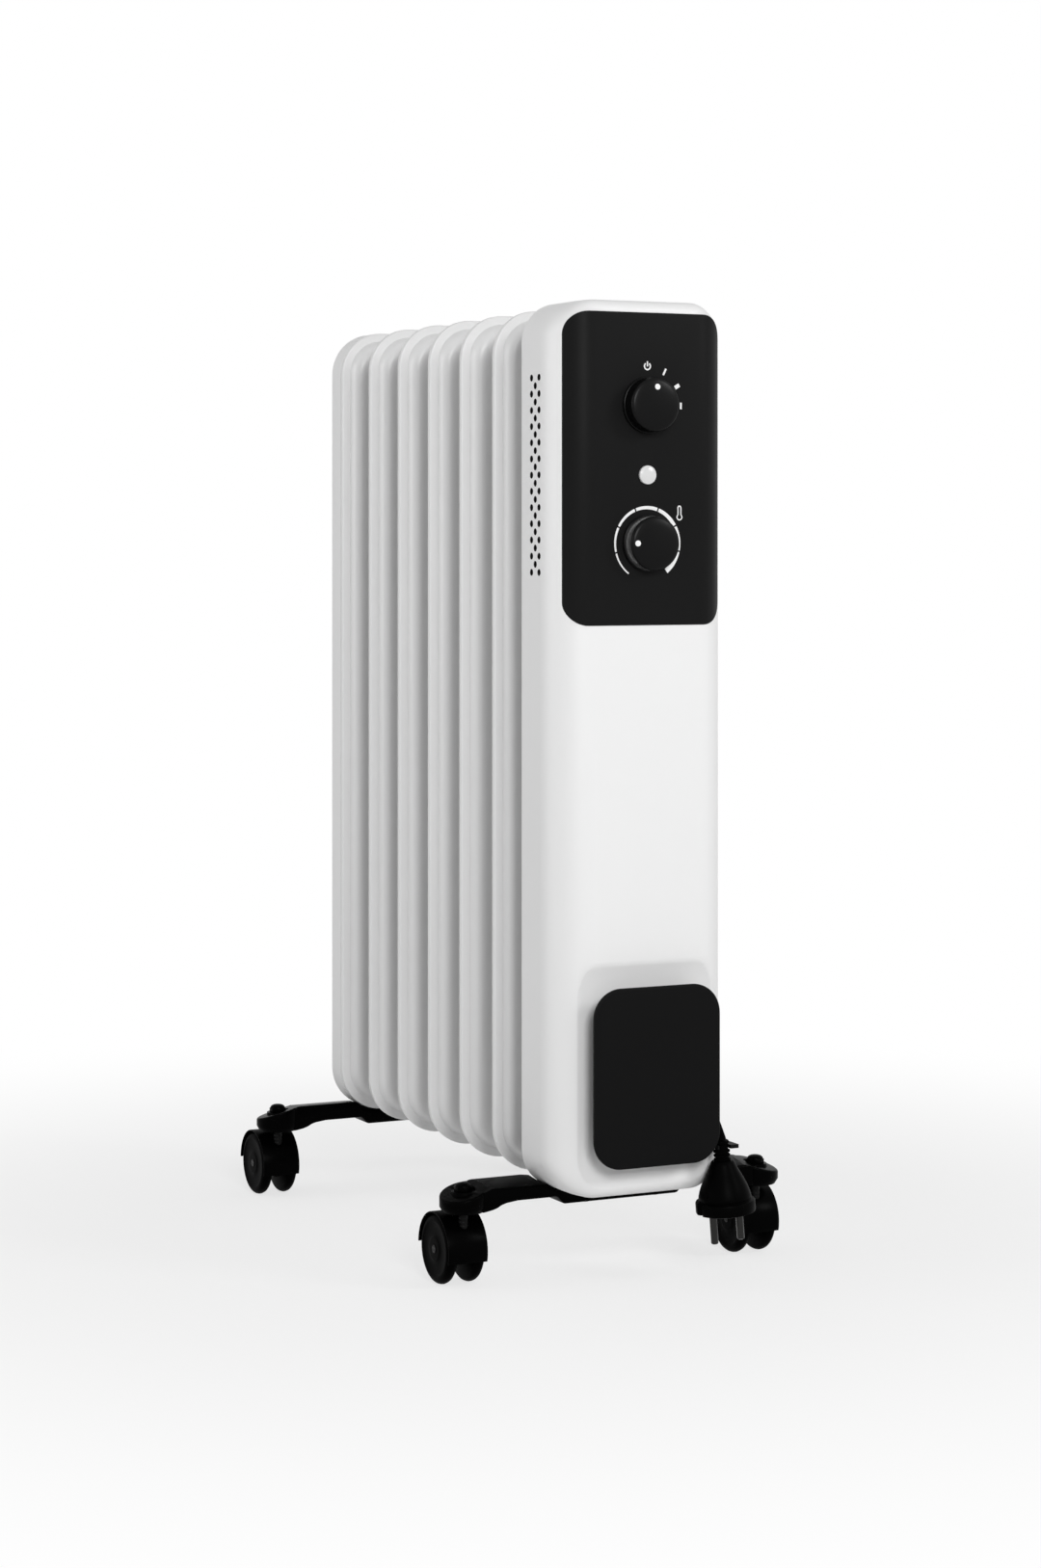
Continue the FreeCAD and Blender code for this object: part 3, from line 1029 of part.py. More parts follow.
def make_casters():
    for name, x, back in caster_places():
        axle = back + CASTER_TRAIL
        out = 1 if x > 0 else -1
        make_hood("%s_hood" % name, x, back)
        pin = rod_x(AXLE_RADIUS, x - AXLE_HALF_LENGTH, x + AXLE_HALF_LENGTH, axle, WHEEL_Z)
        save("%s_axle" % name, [pin])
        make_wheel("%s_wheel_outer" % name, x, out, axle)
        make_wheel("%s_wheel_inner" % name, x, -out, axle)


def main():
    os.makedirs("parts", exist_ok=True)
    make_fins()
    make_sleeves()
    make_rear_cover()
    make_housing()
    make_panel()
    selector_back, thermostat_back = make_controls()
    make_shield()
    make_element()
    make_filler_plug()
    make_tilt_switch()
    make_small_internals()
    make_wiring(selector_back, thermostat_back)
    make_winder()
    make_winder_cover()
    make_screws()
    make_gland()
    make_plug()
    make_cord()
    make_foot("front_foot_bar", FRONT_FOOT_DEPTH, -1, (HOUSING_HALF_WIDTH, HOUSING_LOW, HOUSING_CORNER),
              FRONT_BOLT_DEPTH)
    make_foot("rear_foot_bar", REAR_FOOT_DEPTH, 1, (FIN_HALF_WIDTH, FIN_LOW, FIN_CORNER), REAR_BOLT_DEPTH)
    make_foot_bolts()
    make_stems()
    make_casters()


main()
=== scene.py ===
"""Oil filled radiator heater: its visible pieces, their finishes, and the studio round it.

Metres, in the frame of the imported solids: +Z is up and the control panel faces -Y.
Sizes in the classes are millimetres. Depths are measured back from the housing's flat front.
"""

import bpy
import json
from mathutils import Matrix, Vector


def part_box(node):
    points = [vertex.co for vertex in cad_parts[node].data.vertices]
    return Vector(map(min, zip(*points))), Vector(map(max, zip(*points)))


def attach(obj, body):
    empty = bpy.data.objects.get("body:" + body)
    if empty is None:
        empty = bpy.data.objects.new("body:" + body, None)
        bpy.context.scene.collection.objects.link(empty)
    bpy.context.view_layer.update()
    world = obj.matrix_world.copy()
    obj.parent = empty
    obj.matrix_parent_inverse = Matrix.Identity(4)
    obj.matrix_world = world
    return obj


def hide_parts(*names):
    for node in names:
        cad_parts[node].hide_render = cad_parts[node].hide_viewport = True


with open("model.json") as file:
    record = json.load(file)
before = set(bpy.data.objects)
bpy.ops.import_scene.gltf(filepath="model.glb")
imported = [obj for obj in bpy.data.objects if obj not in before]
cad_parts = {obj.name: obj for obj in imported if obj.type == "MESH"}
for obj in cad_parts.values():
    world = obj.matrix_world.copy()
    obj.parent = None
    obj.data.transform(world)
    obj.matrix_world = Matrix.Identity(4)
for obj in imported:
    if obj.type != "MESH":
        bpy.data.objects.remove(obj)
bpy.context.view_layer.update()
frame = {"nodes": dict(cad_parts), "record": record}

import json
import logging
from dataclasses import dataclass, field
from enum import Enum
from math import atan2, copysign, cos, hypot, pi, radians, sin, sqrt
from typing import Callable, Iterable, Sequence

import bmesh
import bpy
from mathutils import Euler, Matrix, Vector

LOG = logging.getLogger("heater")
MM = 1000.0  # millimetres in a metre
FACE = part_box("front_housing")[0].y * MM
Piece = bpy.types.Object
Tree = bpy.types.NodeTree
Socket = bpy.types.NodeSocket
Section = tuple[float, float, float, float, float]
Profile = Sequence[tuple[float, float]]
Point = tuple[float, float, float]
Test = Callable[[Vector, Vector], bool]
Path = Callable[[float], tuple[float, float]]
UP, RIGHT = Vector((0.0, 0.0, 1.0)), Vector((1.0, 0.0, 0.0))
WHITE = (1.0, 1.0, 1.0, 1.0)
FORWARD, BACKWARD = Vector((0.0, -1.0, 0.0)), Vector((0.0, 1.0, 0.0))


def place(x: float, depth: float, z: float) -> Vector:
    """Point in metres from X, depth and height in millimetres."""
    return Vector((x, FACE + depth, z)) / MM


# ---- finishes ----


class Texture(Enum):
    """How a surface breaks up the light at close range."""

    ORANGE_PEEL = "orange_peel"
    FINE_GRAIN = "fine_grain"
    BRUSHED = "brushed"
    THREADED = "threaded"


def grey(tone: float) -> Point:
    """Colour with the same red, green and blue."""
    return tone, tone, tone


def plug_in(tree: Tree, target: bpy.types.Node, inputs: dict[str | int, object]) -> None:
    """Set a node's inputs.

    Args:
        tree: tree that the node is in.
        target: the node.
        inputs: for each input's name or number, a value, or another node's output to link to it.
    """
    for name, value in inputs.items():
        if isinstance(value, Socket):
            tree.links.new(value, target.inputs[name])
        else:
            target.inputs[name].default_value = value


def add_node(tree: Tree, kind: str, inputs: dict[str | int, object] | None = None,
             **settings: object) -> bpy.types.Node:
    """Add a node to a tree.

    Args:
        tree: tree that it goes into.
        kind: Blender's name for the node, without ShaderNode.
        inputs: values and links of its inputs, by name or number.
        settings: the node's own settings.

    Returns:
        The node.
    """
    made = tree.nodes.new(f"ShaderNode{kind}")
    for name, value in settings.items():
        setattr(made, name, value)
    plug_in(tree, made, inputs or {})
    return made


@dataclass(frozen=True)
class Finish:
    """One surface finish, made of nodes when it is first used.

    Fields:
        colour, shade: the two tones that the surface drifts between.
        roughness, spread: middle roughness and how far it wanders.
        grain: size of the fine pattern in millimetres.
        relief: height of the fine pattern in millimetres.
    """

    name: str
    colour: Point
    shade: Point
    roughness: float
    spread: float
    texture: Texture
    grain: float
    relief: float
    metallic: float = 0.0
    specular: float = 0.5
    coat: float = 0.0
    coat_roughness: float = 0.1

    def material(self) -> bpy.types.Material:
        """Return the finish's material.

        Returns:
            The material, built once and shared by every piece that has the finish.
        """
        known = bpy.data.materials.get(self.name)
        if known:
            return known
        made = bpy.data.materials.new(self.name)
        made.use_nodes = True
        made.diffuse_color = (*self.colour, 1.0)
        tree = made.node_tree
        where = add_node(tree, "TexCoord").outputs["Object"]
        tones = add_node(tree, "Mix", data_type="RGBA")
        plug_in(tree, tones, {"A": (*self.colour, 1.0), "B": (*self.shade, 1.0),
                              "Factor": self._noise(tree, where, 9.0, 3.0)})
        rough = add_node(tree, "MapRange", {"To Min": self.roughness - self.spread, "To Max":
                                            self.roughness + self.spread,
                                            "Value": self._noise(tree, where, 60.0, 4.0)})
        bump = add_node(tree, "Bump", {"Strength": 1.0, "Distance": self.relief / MM,
                                       "Height": self._pattern(tree, where)})
        plug_in(tree, tree.nodes["Principled BSDF"], {
            "Metallic": self.metallic, "Specular IOR Level": self.specular, "Coat Weight": self.coat,
            "Coat Roughness": self.coat_roughness, "Base Color": tones.outputs["Result"],
            "Roughness": rough.outputs["Result"], "Normal": bump.outputs["Normal"]})
        return made

    @staticmethod
    def _noise(tree: Tree, where: Socket, scale: float, detail: float) -> Socket:
        """Add a noise of the given scale and return its height."""
        return add_node(tree, "TexNoise", {"Scale": scale, "Detail": detail, "Vector": where}).outputs["Fac"]

    def _pattern(self, tree: Tree, where: Socket) -> Socket:
        """Add the close-range pattern.

        Args:
            tree: node tree of the material.
            where: socket with the object coordinates.

        Returns:
            The socket that carries the pattern's height.
        """
        scale = MM / self.grain
        if self.texture is Texture.FINE_GRAIN:
            return add_node(tree, "TexVoronoi", {"Scale": scale, "Vector": where}).outputs["Distance"]
        if self.texture is Texture.THREADED:
            return add_node(tree, "TexWave", {"Scale": scale / 6.28, "Distortion": 0.0, "Vector": where},
                            bands_direction="Z").outputs["Fac"]
        if self.texture is Texture.BRUSHED:
            where = add_node(tree, "Mapping", {"Scale": (1.0, 1.0, 0.04), "Vector": where}).outputs["Vector"]
            return self._noise(tree, where, scale, 2.0)
        return self._noise(tree, where, scale, 1.0)


WHITE_ENAMEL = Finish("white_enamel", grey(0.81), grey(0.79), 0.36, 0.04,
                      Texture.ORANGE_PEEL, 2.6, 0.012, coat=0.15, coat_roughness=0.2)
WHITE_SHELL = Finish("white_moulded_shell", grey(0.868), grey(0.855), 0.42, 0.04, Texture.FINE_GRAIN, 0.7, 0.006)
PANEL_BLACK = Finish("panel_black", (0.0105, 0.0105, 0.0106), (0.0092, 0.0092, 0.0093), 0.40, 0.04,
                     Texture.ORANGE_PEEL, 1.8, 0.005, specular=0.035)
KNOB_BLACK = Finish("knob_black", (0.0030, 0.0030, 0.0031), (0.0022, 0.0022, 0.0023), 0.30, 0.05,
                    Texture.FINE_GRAIN, 0.5, 0.006, specular=0.10)
# Painted sheen: a grey far lighter than knob_black, with full specular, laid on the thermostat knob's barrel as a
# bright crescent.
PAINTED_SHEEN_SIDE = Finish("knob_painted_sheen", grey(0.07), grey(0.06), 0.16, 0.03, Texture.FINE_GRAIN, 0.5, 0.004, specular=1.0)
COVER_BLACK = Finish("cover_black", (0.0050, 0.0050, 0.0051), (0.0042, 0.0042, 0.0043), 0.50, 0.05,
                     Texture.FINE_GRAIN, 0.6, 0.012, specular=0.05)
FOOT_BLACK = Finish("foot_black", grey(0.0008), grey(0.0005), 0.28, 0.05,
                    Texture.FINE_GRAIN, 0.55, 0.008, specular=0.014)
WHEEL_BLACK = Finish("wheel_black", grey(0.0007), grey(0.0005), 0.42, 0.05,
                     Texture.FINE_GRAIN, 0.5, 0.008, specular=0.009)
RUBBER = Finish("lead_rubber", grey(0.0012), grey(0.0009), 0.55, 0.05, Texture.FINE_GRAIN, 0.4, 0.010, specular=0.008)
PLUG_BLACK = Finish("plug_black", grey(0.001), grey(0.0008), 0.40, 0.05,
                    Texture.FINE_GRAIN, 0.5, 0.010, specular=0.014)
# Nickel darkened far below its real brightness: a painted dark reflection, so the pins look dark with only the lamps'
# thin highlights.
PAINTED_DARK_NICKEL = Finish("nickel_painted_dark", (0.035, 0.035, 0.034), (0.028, 0.028, 0.027), 0.08, 0.03,
                Texture.BRUSHED, 0.25, 0.003, metallic=1.0)
ZINC_STEEL = Finish("zinc_steel", (0.52, 0.53, 0.55), (0.44, 0.45, 0.46), 0.32, 0.06,
                    Texture.BRUSHED, 0.3, 0.005, metallic=1.0)
DARK_STEM = Finish("dark_stem", grey(0.004), grey(0.003), 0.38, 0.05,
                   Texture.THREADED, 1.25, 0.16, metallic=0.2, specular=0.08)
SHEET_STEEL = Finish("sheet_steel", (0.60, 0.60, 0.62), (0.50, 0.50, 0.52), 0.36, 0.08,
                     Texture.ORANGE_PEEL, 8.0, 0.010, metallic=1.0)
COPPER = Finish("copper", (0.70, 0.37, 0.24), (0.60, 0.30, 0.19), 0.30, 0.06,
                Texture.BRUSHED, 0.3, 0.004, metallic=1.0)
GREY_MOULDING = Finish("grey_moulding", grey(0.2), grey(0.17), 0.50, 0.05, Texture.FINE_GRAIN, 0.6, 0.010)
WHITE_MOULDING = Finish("white_moulding", (0.72, 0.72, 0.70), (0.68, 0.68, 0.66), 0.48, 0.05,
                        Texture.FINE_GRAIN, 0.6, 0.010)
FROSTED_LENS = Finish("frosted_lens", grey(0.74), grey(0.66), 0.26, 0.04, Texture.ORANGE_PEEL, 1.2, 0.006, coat=0.4)
# Painted shade: near black on the housing's inner faces and vent walls, so that the vents look dark.
PAINTED_SHADE_INSIDE = Finish("painted_shade_inside", grey(0.012), grey(0.01), 0.6, 0.05, Texture.FINE_GRAIN, 0.7, 0.006, specular=0.1)
BLACK_BOLT = Finish("black_bolt", grey(0.012), grey(0.009), 0.42, 0.05, Texture.BRUSHED, 0.3, 0.004, specular=0.2)
WHITE_INK = Finish("white_ink", grey(0.93), grey(0.9), 0.55, 0.04, Texture.ORANGE_PEEL, 0.6, 0.004, specular=0.2)

SLOT_FINISH = {
    "white_paint": WHITE_ENAMEL, "white_shell": WHITE_SHELL, "black_gloss": PANEL_BLACK,
    "black_plastic": COVER_BLACK, "grey_plastic": GREY_MOULDING, "white_plastic": WHITE_MOULDING,
    "wheel_plastic": WHEEL_BLACK, "plain_steel": ZINC_STEEL, "galvanised": SHEET_STEEL,
    "copper_tube": COPPER, "lamp": FROSTED_LENS, "cord_rubber": RUBBER, "pin_brass": PAINTED_DARK_NICKEL,
}


# ---- hand tools ----


def take(piece: Piece | None = None) -> None:
    """Leave edit mode and make the piece the only selected one, or select nothing.

    Args:
        piece: piece to select, if any.
    """
    if bpy.context.mode != "OBJECT":
        bpy.ops.object.mode_set(mode="OBJECT")
    bpy.ops.object.select_all(action="DESELECT")
    if piece:
        piece.select_set(True)
        bpy.context.view_layer.objects.active = piece


def settle(piece: Piece) -> Piece:
    """Put the piece's place, turn and size into its mesh."""
    take(piece)
    bpy.ops.object.transform_apply(location=True, rotation=True, scale=True)
    return piece


def edit(piece: Piece) -> None:
    """Open the piece for editing with nothing selected."""
    take(piece)
    bpy.ops.object.mode_set(mode="EDIT")
    bpy.ops.mesh.select_all(action="DESELECT")


def select_all() -> None:
    """Select all of the open piece."""
    bpy.ops.mesh.select_all(action="SELECT")


def slice_all(spot: Vector, normal: Vector) -> None:
    """Cut all faces of the open piece along a plane."""
    select_all()
    bpy.ops.mesh.bisect(plane_co=spot, plane_no=normal)


def close() -> None:
    """Make the faces point outwards and leave edit mode."""
    select_all()
    bpy.ops.mesh.normals_make_consistent(inside=False)
    bpy.ops.object.mode_set(mode="OBJECT")


def block(name: str, low: Vector, high: Vector) -> Piece:
    """Cube stretched between two corners.

    Args:
        name: name of the new piece.
        low: lowest corner.
        high: highest corner.

    Returns:
        The new piece.
    """
    take()
    bpy.ops.mesh.primitive_cube_add(size=1.0, location=(low + high) / 2.0)
    piece = bpy.context.active_object
    piece.name = name
    piece.scale = high - low
    return settle(piece)


def pick_faces(piece: Piece, test: Test) -> None:
    """Select the faces whose middle and normal pass a test.

    Args:
        piece: piece in edit mode.
        test: takes a face's middle and normal.
    """
    bpy.ops.mesh.select_mode(type="FACE")
    bpy.ops.mesh.select_all(action="DESELECT")
    mesh = bmesh.from_edit_mesh(piece.data)
    for face in mesh.faces:
        if test(face.calc_center_median(), face.normal):
            face.select_set(True)
    bmesh.update_edit_mesh(piece.data)


def bevel(width: float, segments: int) -> None:
    """Round the selected edges; width in millimetres."""
    bpy.ops.mesh.bevel(offset=width / MM, segments=segments, affect="EDGES", profile=0.5)


def inset(width: float, rise: float = 0.0) -> None:
    """Inset the selected faces and move them out along their normals, in millimetres."""
    bpy.ops.mesh.inset(thickness=width / MM, depth=rise / MM)


def round_rim(piece: Piece, test: Test, width: float, segments: int) -> None:
    """Round the outline of the faces that pass a test.

    Args:
        piece: piece in edit mode.
        test: takes a face's middle and normal.
        width: width of the rounding in millimetres.
        segments: faces across it.
    """
    pick_faces(piece, test)
    bpy.ops.mesh.region_to_loop()
    bevel(width, segments)


def modify(piece: Piece, kind: str, **settings: object) -> Piece:
    """Add a modifier and apply it.

    Args:
        piece: piece to change.
        kind: Blender's name for the modifier.
        settings: values to set on it.

    Returns:
        The same piece.
    """
    take(piece)
    modifier = piece.modifiers.new(kind.title(), kind)
    for key, value in settings.items():
        setattr(modifier, key, value)
    bpy.ops.object.modifier_apply(modifier=modifier.name)
    return piece


def soften(piece: Piece, width: float, segments: int, degrees: float) -> Piece:
    """Round every edge sharper than the angle; width in metres."""
    return modify(piece, "BEVEL", width=width, segments=segments, limit_method="ANGLE", angle_limit=radians(degrees))


def cut(piece: Piece, tool: Piece) -> Piece:
    """Cut the tool's shape out of the piece and put the tool away."""
    modify(piece, "BOOLEAN", operation="DIFFERENCE", object=tool, solver="EXACT")
    bpy.data.objects.remove(tool)
    return piece


def unite(piece: Piece, other: Piece) -> Piece:
    """Grow the other piece into this one."""
    modify(piece, "BOOLEAN", operation="UNION", object=other, solver="EXACT")
    bpy.data.objects.remove(other)
    return piece


def join(name: str, pieces: Sequence[Piece]) -> Piece:
    """Make one piece of several that don't touch.

    Args:
        name: name of the result.
        pieces: the pieces, the first of which takes in the rest.

    Returns:
        The joined piece.
    """
    take(pieces[0])
    for piece in pieces[1:]:
        piece.select_set(True)
    bpy.ops.object.join()
    pieces[0].name = name
    return pieces[0]


def twin(piece: Piece, name: str, move: Vector) -> Piece:
    """Copy a piece with its own mesh.

    Args:
        piece: piece to copy.
        name: name of the copy.
        move: how far the copy stands from the piece, in metres.

    Returns:
        The copy.
    """
    take(piece)
    bpy.ops.object.duplicate(linked=False)
    copy = bpy.context.active_object
    copy.name = name
    copy.location = move
    return settle(copy)


def smooth(piece: Piece, degrees: float = 32.0) -> Piece:
    """Shade smoothly over all edges flatter than the angle."""
    take(piece)
    bpy.ops.object.shade_smooth_by_angle(angle=radians(degrees))
    return piece


def turned(name: str, profile: Profile, foot: Vector, way: Vector, segments: int = 48) -> Piece:
    """Disc drawn out ring by ring along an axis, as on a lathe.

    Args:
        name: name of the new piece.
        profile: (radius, along) pairs in millimetres, from the foot onwards.
        foot: where the axis starts, in metres.
        way: direction of the axis.
        segments: sides of each ring.

    Returns:
        The new piece, closed at both ends.
    """
    take()
    radius, along = profile[0]
    bpy.ops.mesh.primitive_circle_add(vertices=segments, radius=radius / MM, fill_type="NGON",
                                      location=(0.0, 0.0, along / MM))
    piece = settle(bpy.context.active_object)
    piece.name = name
    edit(piece)
    select_all()
    for next_radius, next_along in profile[1:]:
        rise = (next_along - along) / MM
        bpy.ops.mesh.extrude_region_move(TRANSFORM_OT_translate={"value": (0.0, 0.0, rise)})
        share = next_radius / radius
        bpy.ops.transform.resize(value=(share, share, 1.0), center_override=(0.0, 0.0, next_along / MM))
        radius, along = next_radius, next_along
    close()
    piece.rotation_mode = "QUATERNION"
    piece.rotation_quaternion = UP.rotation_difference(way)
    piece.location = foot
    settle(piece)
    return smooth(piece)


def drawn(name: str, sections: Sequence[Section], segments: int = 10) -> Piece:
    """Rounded plate drawn back section by section.

    Args:
        name: name of the new piece.
        sections: (depth, half width, low, high, corner radius) in millimetres.
        segments: faces round each corner.

    Returns:
        The new piece, closed at both ends.
    """
    take()
    bpy.ops.mesh.primitive_plane_add(size=1.0, rotation=(pi / 2.0, 0.0, 0.0))
    piece = settle(bpy.context.active_object)
    piece.name = name
    edit(piece)
    select_all()
    bpy.ops.mesh.bevel(offset=0.2, segments=segments, affect="VERTICES", profile=0.5)
    select_all()
    old = (0.0, 500.0, -500.0, 500.0, 200.0)
    for index, section in enumerate(sections):
        if index:
            bpy.ops.mesh.extrude_region_move(TRANSFORM_OT_translate={"value": (0.0, 0.0, 0.0)})
        fit_ring(piece, old, section)
        old = section
    close()
    return piece


def fit_ring(piece: Piece, old: Section, new: Section) -> None:
    """Move the selected ring from one rounded section to the next.

    Args:
        piece: piece in edit mode.
        old: section that the ring has.
        new: section that it gets.
    """
    _, old_half, old_low, old_high, old_corner = old
    depth, half, low, high, corner = new
    mesh = bmesh.from_edit_mesh(piece.data)
    for vert in [v for v in mesh.verts if v.select]:
        x, z = vert.co.x * MM, vert.co.z * MM - (old_low + old_high) / 2.0
        turn = atan2(abs(z) - ((old_high - old_low) / 2.0 - old_corner), abs(x) - (old_half - old_corner))
        across = half - corner + corner * cos(turn)
        up = (high - low) / 2.0 - corner + corner * sin(turn)
        vert.co = place(copysign(across, x), depth, (low + high) / 2.0 + copysign(up, z))
    bmesh.update_edit_mesh(piece.data)


def stroke(name: str, path: Path, width: Callable[[float], float], depth: float, steps: int = 24) -> Piece:
    """Thin raised line of ink on a plane that faces the front.

    Args:
        name: name of the new piece.
        path: gives (x, z) in millimetres at a share of the line's length.
        width: gives the line's width there.
        depth: depth of the surface that it is printed on.
        steps: faces along the line.

    Returns:
        The new piece.
    """
    take()
    bpy.ops.mesh.primitive_grid_add(x_subdivisions=steps, y_subdivisions=1, size=1.0)
    piece = bpy.context.active_object
    piece.name = name
    for vert in piece.data.vertices:
        share, side = vert.co.x + 0.5, vert.co.y
        x0, z0 = path(share - 0.002)
        x1, z1 = path(share + 0.002)
        run = hypot(x1 - x0, z1 - z0)
        half = side * width(share)
        x, z = path(share)
        vert.co = place(x - half * (z1 - z0) / run, depth + 0.03, z + half * (x1 - x0) / run)
    modify(piece, "SOLIDIFY", thickness=0.00018, offset=0.0)
    edit(piece)
    close()
    return piece


@dataclass
class SubAssembly:
    """Common part of every sub-assembly: it hands its finished pieces over to the frame."""

    body: str = "heater"

    def fit(self, piece: Piece, finish: Finish, slot: str, replaced: Iterable[str] = (),
            body: str | None = None) -> Piece:
        """Dress a piece, let it ride on its body and say what it stands for.

        Args:
            piece: finished piece.
            finish: its finish.
            slot: material slot of the record; not used.
            replaced: solids of the frame that it stands for.
            body: body that it rides on, if not the sub-assembly's own.

        Returns:
            The same piece.
        """
        piece.data.materials.clear()
        piece.data.materials.append(finish.material())
        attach(piece, body or self.body)
        names = list(replaced)
        if names:
            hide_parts(*names)
        LOG.info("%s: %s on %s", piece.name, finish.name, body or self.body)
        return piece

    @staticmethod
    def dress(piece: Piece, finish: Finish, test: Test) -> None:
        """Give some faces of a dressed piece a second finish.

        Args:
            piece: piece that already has its first finish.
            finish: finish of the chosen faces.
            test: says from a face's middle and normal whether it is chosen.
        """
        piece.data.materials.append(finish.material())
        for face in piece.data.polygons:
            if test(face.center, face.normal):
                face.material_index = 1


@dataclass
class PlateAssembly(SubAssembly):
    """Sub-assembly whose main piece starts as an upright plate with round corners."""

    half_width: float = 60.3
    low: float = 58.7
    high: float = 619.7
    corner: float = 30.0

    def plate(self, name: str, front: float, back: float, segments: int = 14) -> Piece:
        """Plate with its corners rounded, left open for editing.

        Args:
            name: name of the new piece.
            front: depth of its front.
            back: depth of its back.
            segments: faces round each corner.

        Returns:
            The new piece, in edit mode.
        """
        piece = block(name, place(-self.half_width, front, self.low), place(self.half_width, back, self.high))
        edit(piece)
        bpy.ops.mesh.select_mode(type="EDGE")
        mesh = bmesh.from_edit_mesh(piece.data)
        for edge in mesh.edges:
            if abs(edge.verts[0].co.y - edge.verts[1].co.y) > 0.001:
                edge.select_set(True)
        bmesh.update_edit_mesh(piece.data)
        bevel(self.corner, segments)
        return piece


# ---- lead and plug ----


@dataclass
class MainsLead(SubAssembly):
    """Mains lead: a gland, the wound cord, and the plug that hangs in its fork.

    Fields:
        turn_points, wound_points: control points in one turn and in the whole wound part.
        outer_half, inner_half: half width of the first layer's first turn and of the second layer's.
        turn_step: how much narrower each turn of the first layer is.
    """

    radius: float = 3.5
    exit_point: Point = (38.5, -1.7, 150.0)
    winder_middle: float = 134.0
    half_straight: float = 22.0
    turn_points: int = 16
    wound_points: int = 94
    outer_half: float = 29.1
    inner_half: float = 15.1
    turn_step: float = 3.5
    arc_stretch: float = 1.035
    lead_steps: Sequence[Point] = (
        (0.0, 0.0, -8.5), (-2.1, 0.7, -18.5), (-6.1, 0.8, -28.5), (-8.9, 0.8, -38.0))
    tail_start: Point = (29.3, 0.0, 134.0)
    tail_steps: Sequence[Point] = (
        (0.0, -8.25, 16.0), (3.6, -8.25, 2.0), (8.4, -8.25, -12.0), (10.4, -8.25, -23.5), (15.9, -8.25, -35.0))
    plug_x: float = 51.2
    plug_depth: float = -10.0
    plug_z: float = 47.7
    relief_end: float = 41.9
    pin_reach: float = 9.5
    lean: float = 4.5
    notch_reach: float = 19.0
    length: float = 1.444

    def plug_place(self, along: float, across: float = 0.0) -> Vector:
        """Point in the plug's own frame: so far up its axis and so far along its pin line."""
        lean = radians(self.lean)
        return place(self.plug_x - along * sin(lean) + across * cos(lean), self.plug_depth,
                     self.plug_z + along * cos(lean) + across * sin(lean))

    def up(self) -> Vector:
        """Direction of the plug's axis, away from its pins."""
        return (self.plug_place(1.0) - self.plug_place(0.0)).normalized()

    def turn_place(self, index: int) -> Point:
        """Control point of the wound part.

        Args:
            index: number of the point.

        Returns:
            X, depth and height in millimetres.
        """
        def past(start: int, most: int) -> int:
            """Points past a start, up to a limit."""
            return min(max(index - start, 0), most)

        step = index % self.turn_points
        if index < 50:
            width = self.outer_half - self.turn_step * (past(17, 2) + past(33, 2))
        else:
            width = self.inner_half
            for start in (62, 78):
                width += (0.0, 1.9, 5.4, 7.0)[past(start, 3)]
        rise = (0.0, 1.0, 3.7, 6.4, 7.2)[past(46, 4)]
        arc = width * self.arc_stretch
        if step < 6:
            turn = radians(15.0 + 30.0 * step)
            x, z = arc * cos(turn), -self.half_straight - arc * sin(turn)
        elif step < 8:
            x, z = -width, -11.0 + 22.0 * (step - 6)
        elif step < 14:
            turn = radians(15.0 + 30.0 * (step - 8))
            x, z = -arc * cos(turn), self.half_straight + arc * sin(turn)
        else:
            x, z = width, 11.0 - 22.0 * (step - 14)
        return x, -0.9 - rise, self.winder_middle + z

    def route(self) -> list[Vector]:
        """Control points of the whole cord, from the gland to the plug's strain relief.

        Returns:
            The points, in metres.
        """
        start, side = Vector(self.exit_point), Vector(self.tail_start)
        points = [start] + [start + Vector(step) for step in self.lead_steps]
        points += [Vector(self.turn_place(index)) for index in range(self.wound_points)]
        points += [side + Vector(step) for step in self.tail_steps]
        return [place(*point) for point in points] + [self.plug_place(self.relief_end)]

    def build_cord(self) -> Piece:
        """Draw the cord as one smooth curve.

        Returns:
            The curve.
        """
        curve = bpy.data.curves.new("mains_cord", "CURVE")
        curve.dimensions = "3D"
        curve.bevel_depth = self.radius / MM
        curve.bevel_resolution = 4
        curve.resolution_u = 6
        curve.use_fill_caps = True
        spline = curve.splines.new("NURBS")
        points = self.route()
        spline.points.add(len(points) - 1)
        for target, point in zip(spline.points, points):
            target.co = (*point, 1.0)
        spline.order_u = 3
        spline.use_endpoint_u = True
        cord = bpy.data.objects.new("mains_cord", curve)
        bpy.context.scene.collection.objects.link(cord)
        return self.fit(cord, RUBBER, "cord_rubber", ("cord_lead", "cord_coil", "cord_tail"))

    def build_gland(self) -> Piece:
        """Ribbed tapering sleeve where the cord leaves the housing.

        Returns:
            The sleeve.
        """
        profile = [(4.1, 0.0), (4.2, 0.6)]
        for rib in range(4):
            start = 0.9 + 1.3 * rib
            profile += [(4.35 + 0.05 * rib, start), (4.35 + 0.05 * rib, start + 0.7), (4.1, start + 0.8),
                        (4.1, start + 1.2)]
        profile += [(4.6, 6.2), (4.6, 19.6), (4.2, 20.0)]
        gland = turned("lead_gland", profile, place(*self.exit_point), UP, 32)
        return self.fit(gland, RUBBER, "cord_rubber", ("cord_gland",))

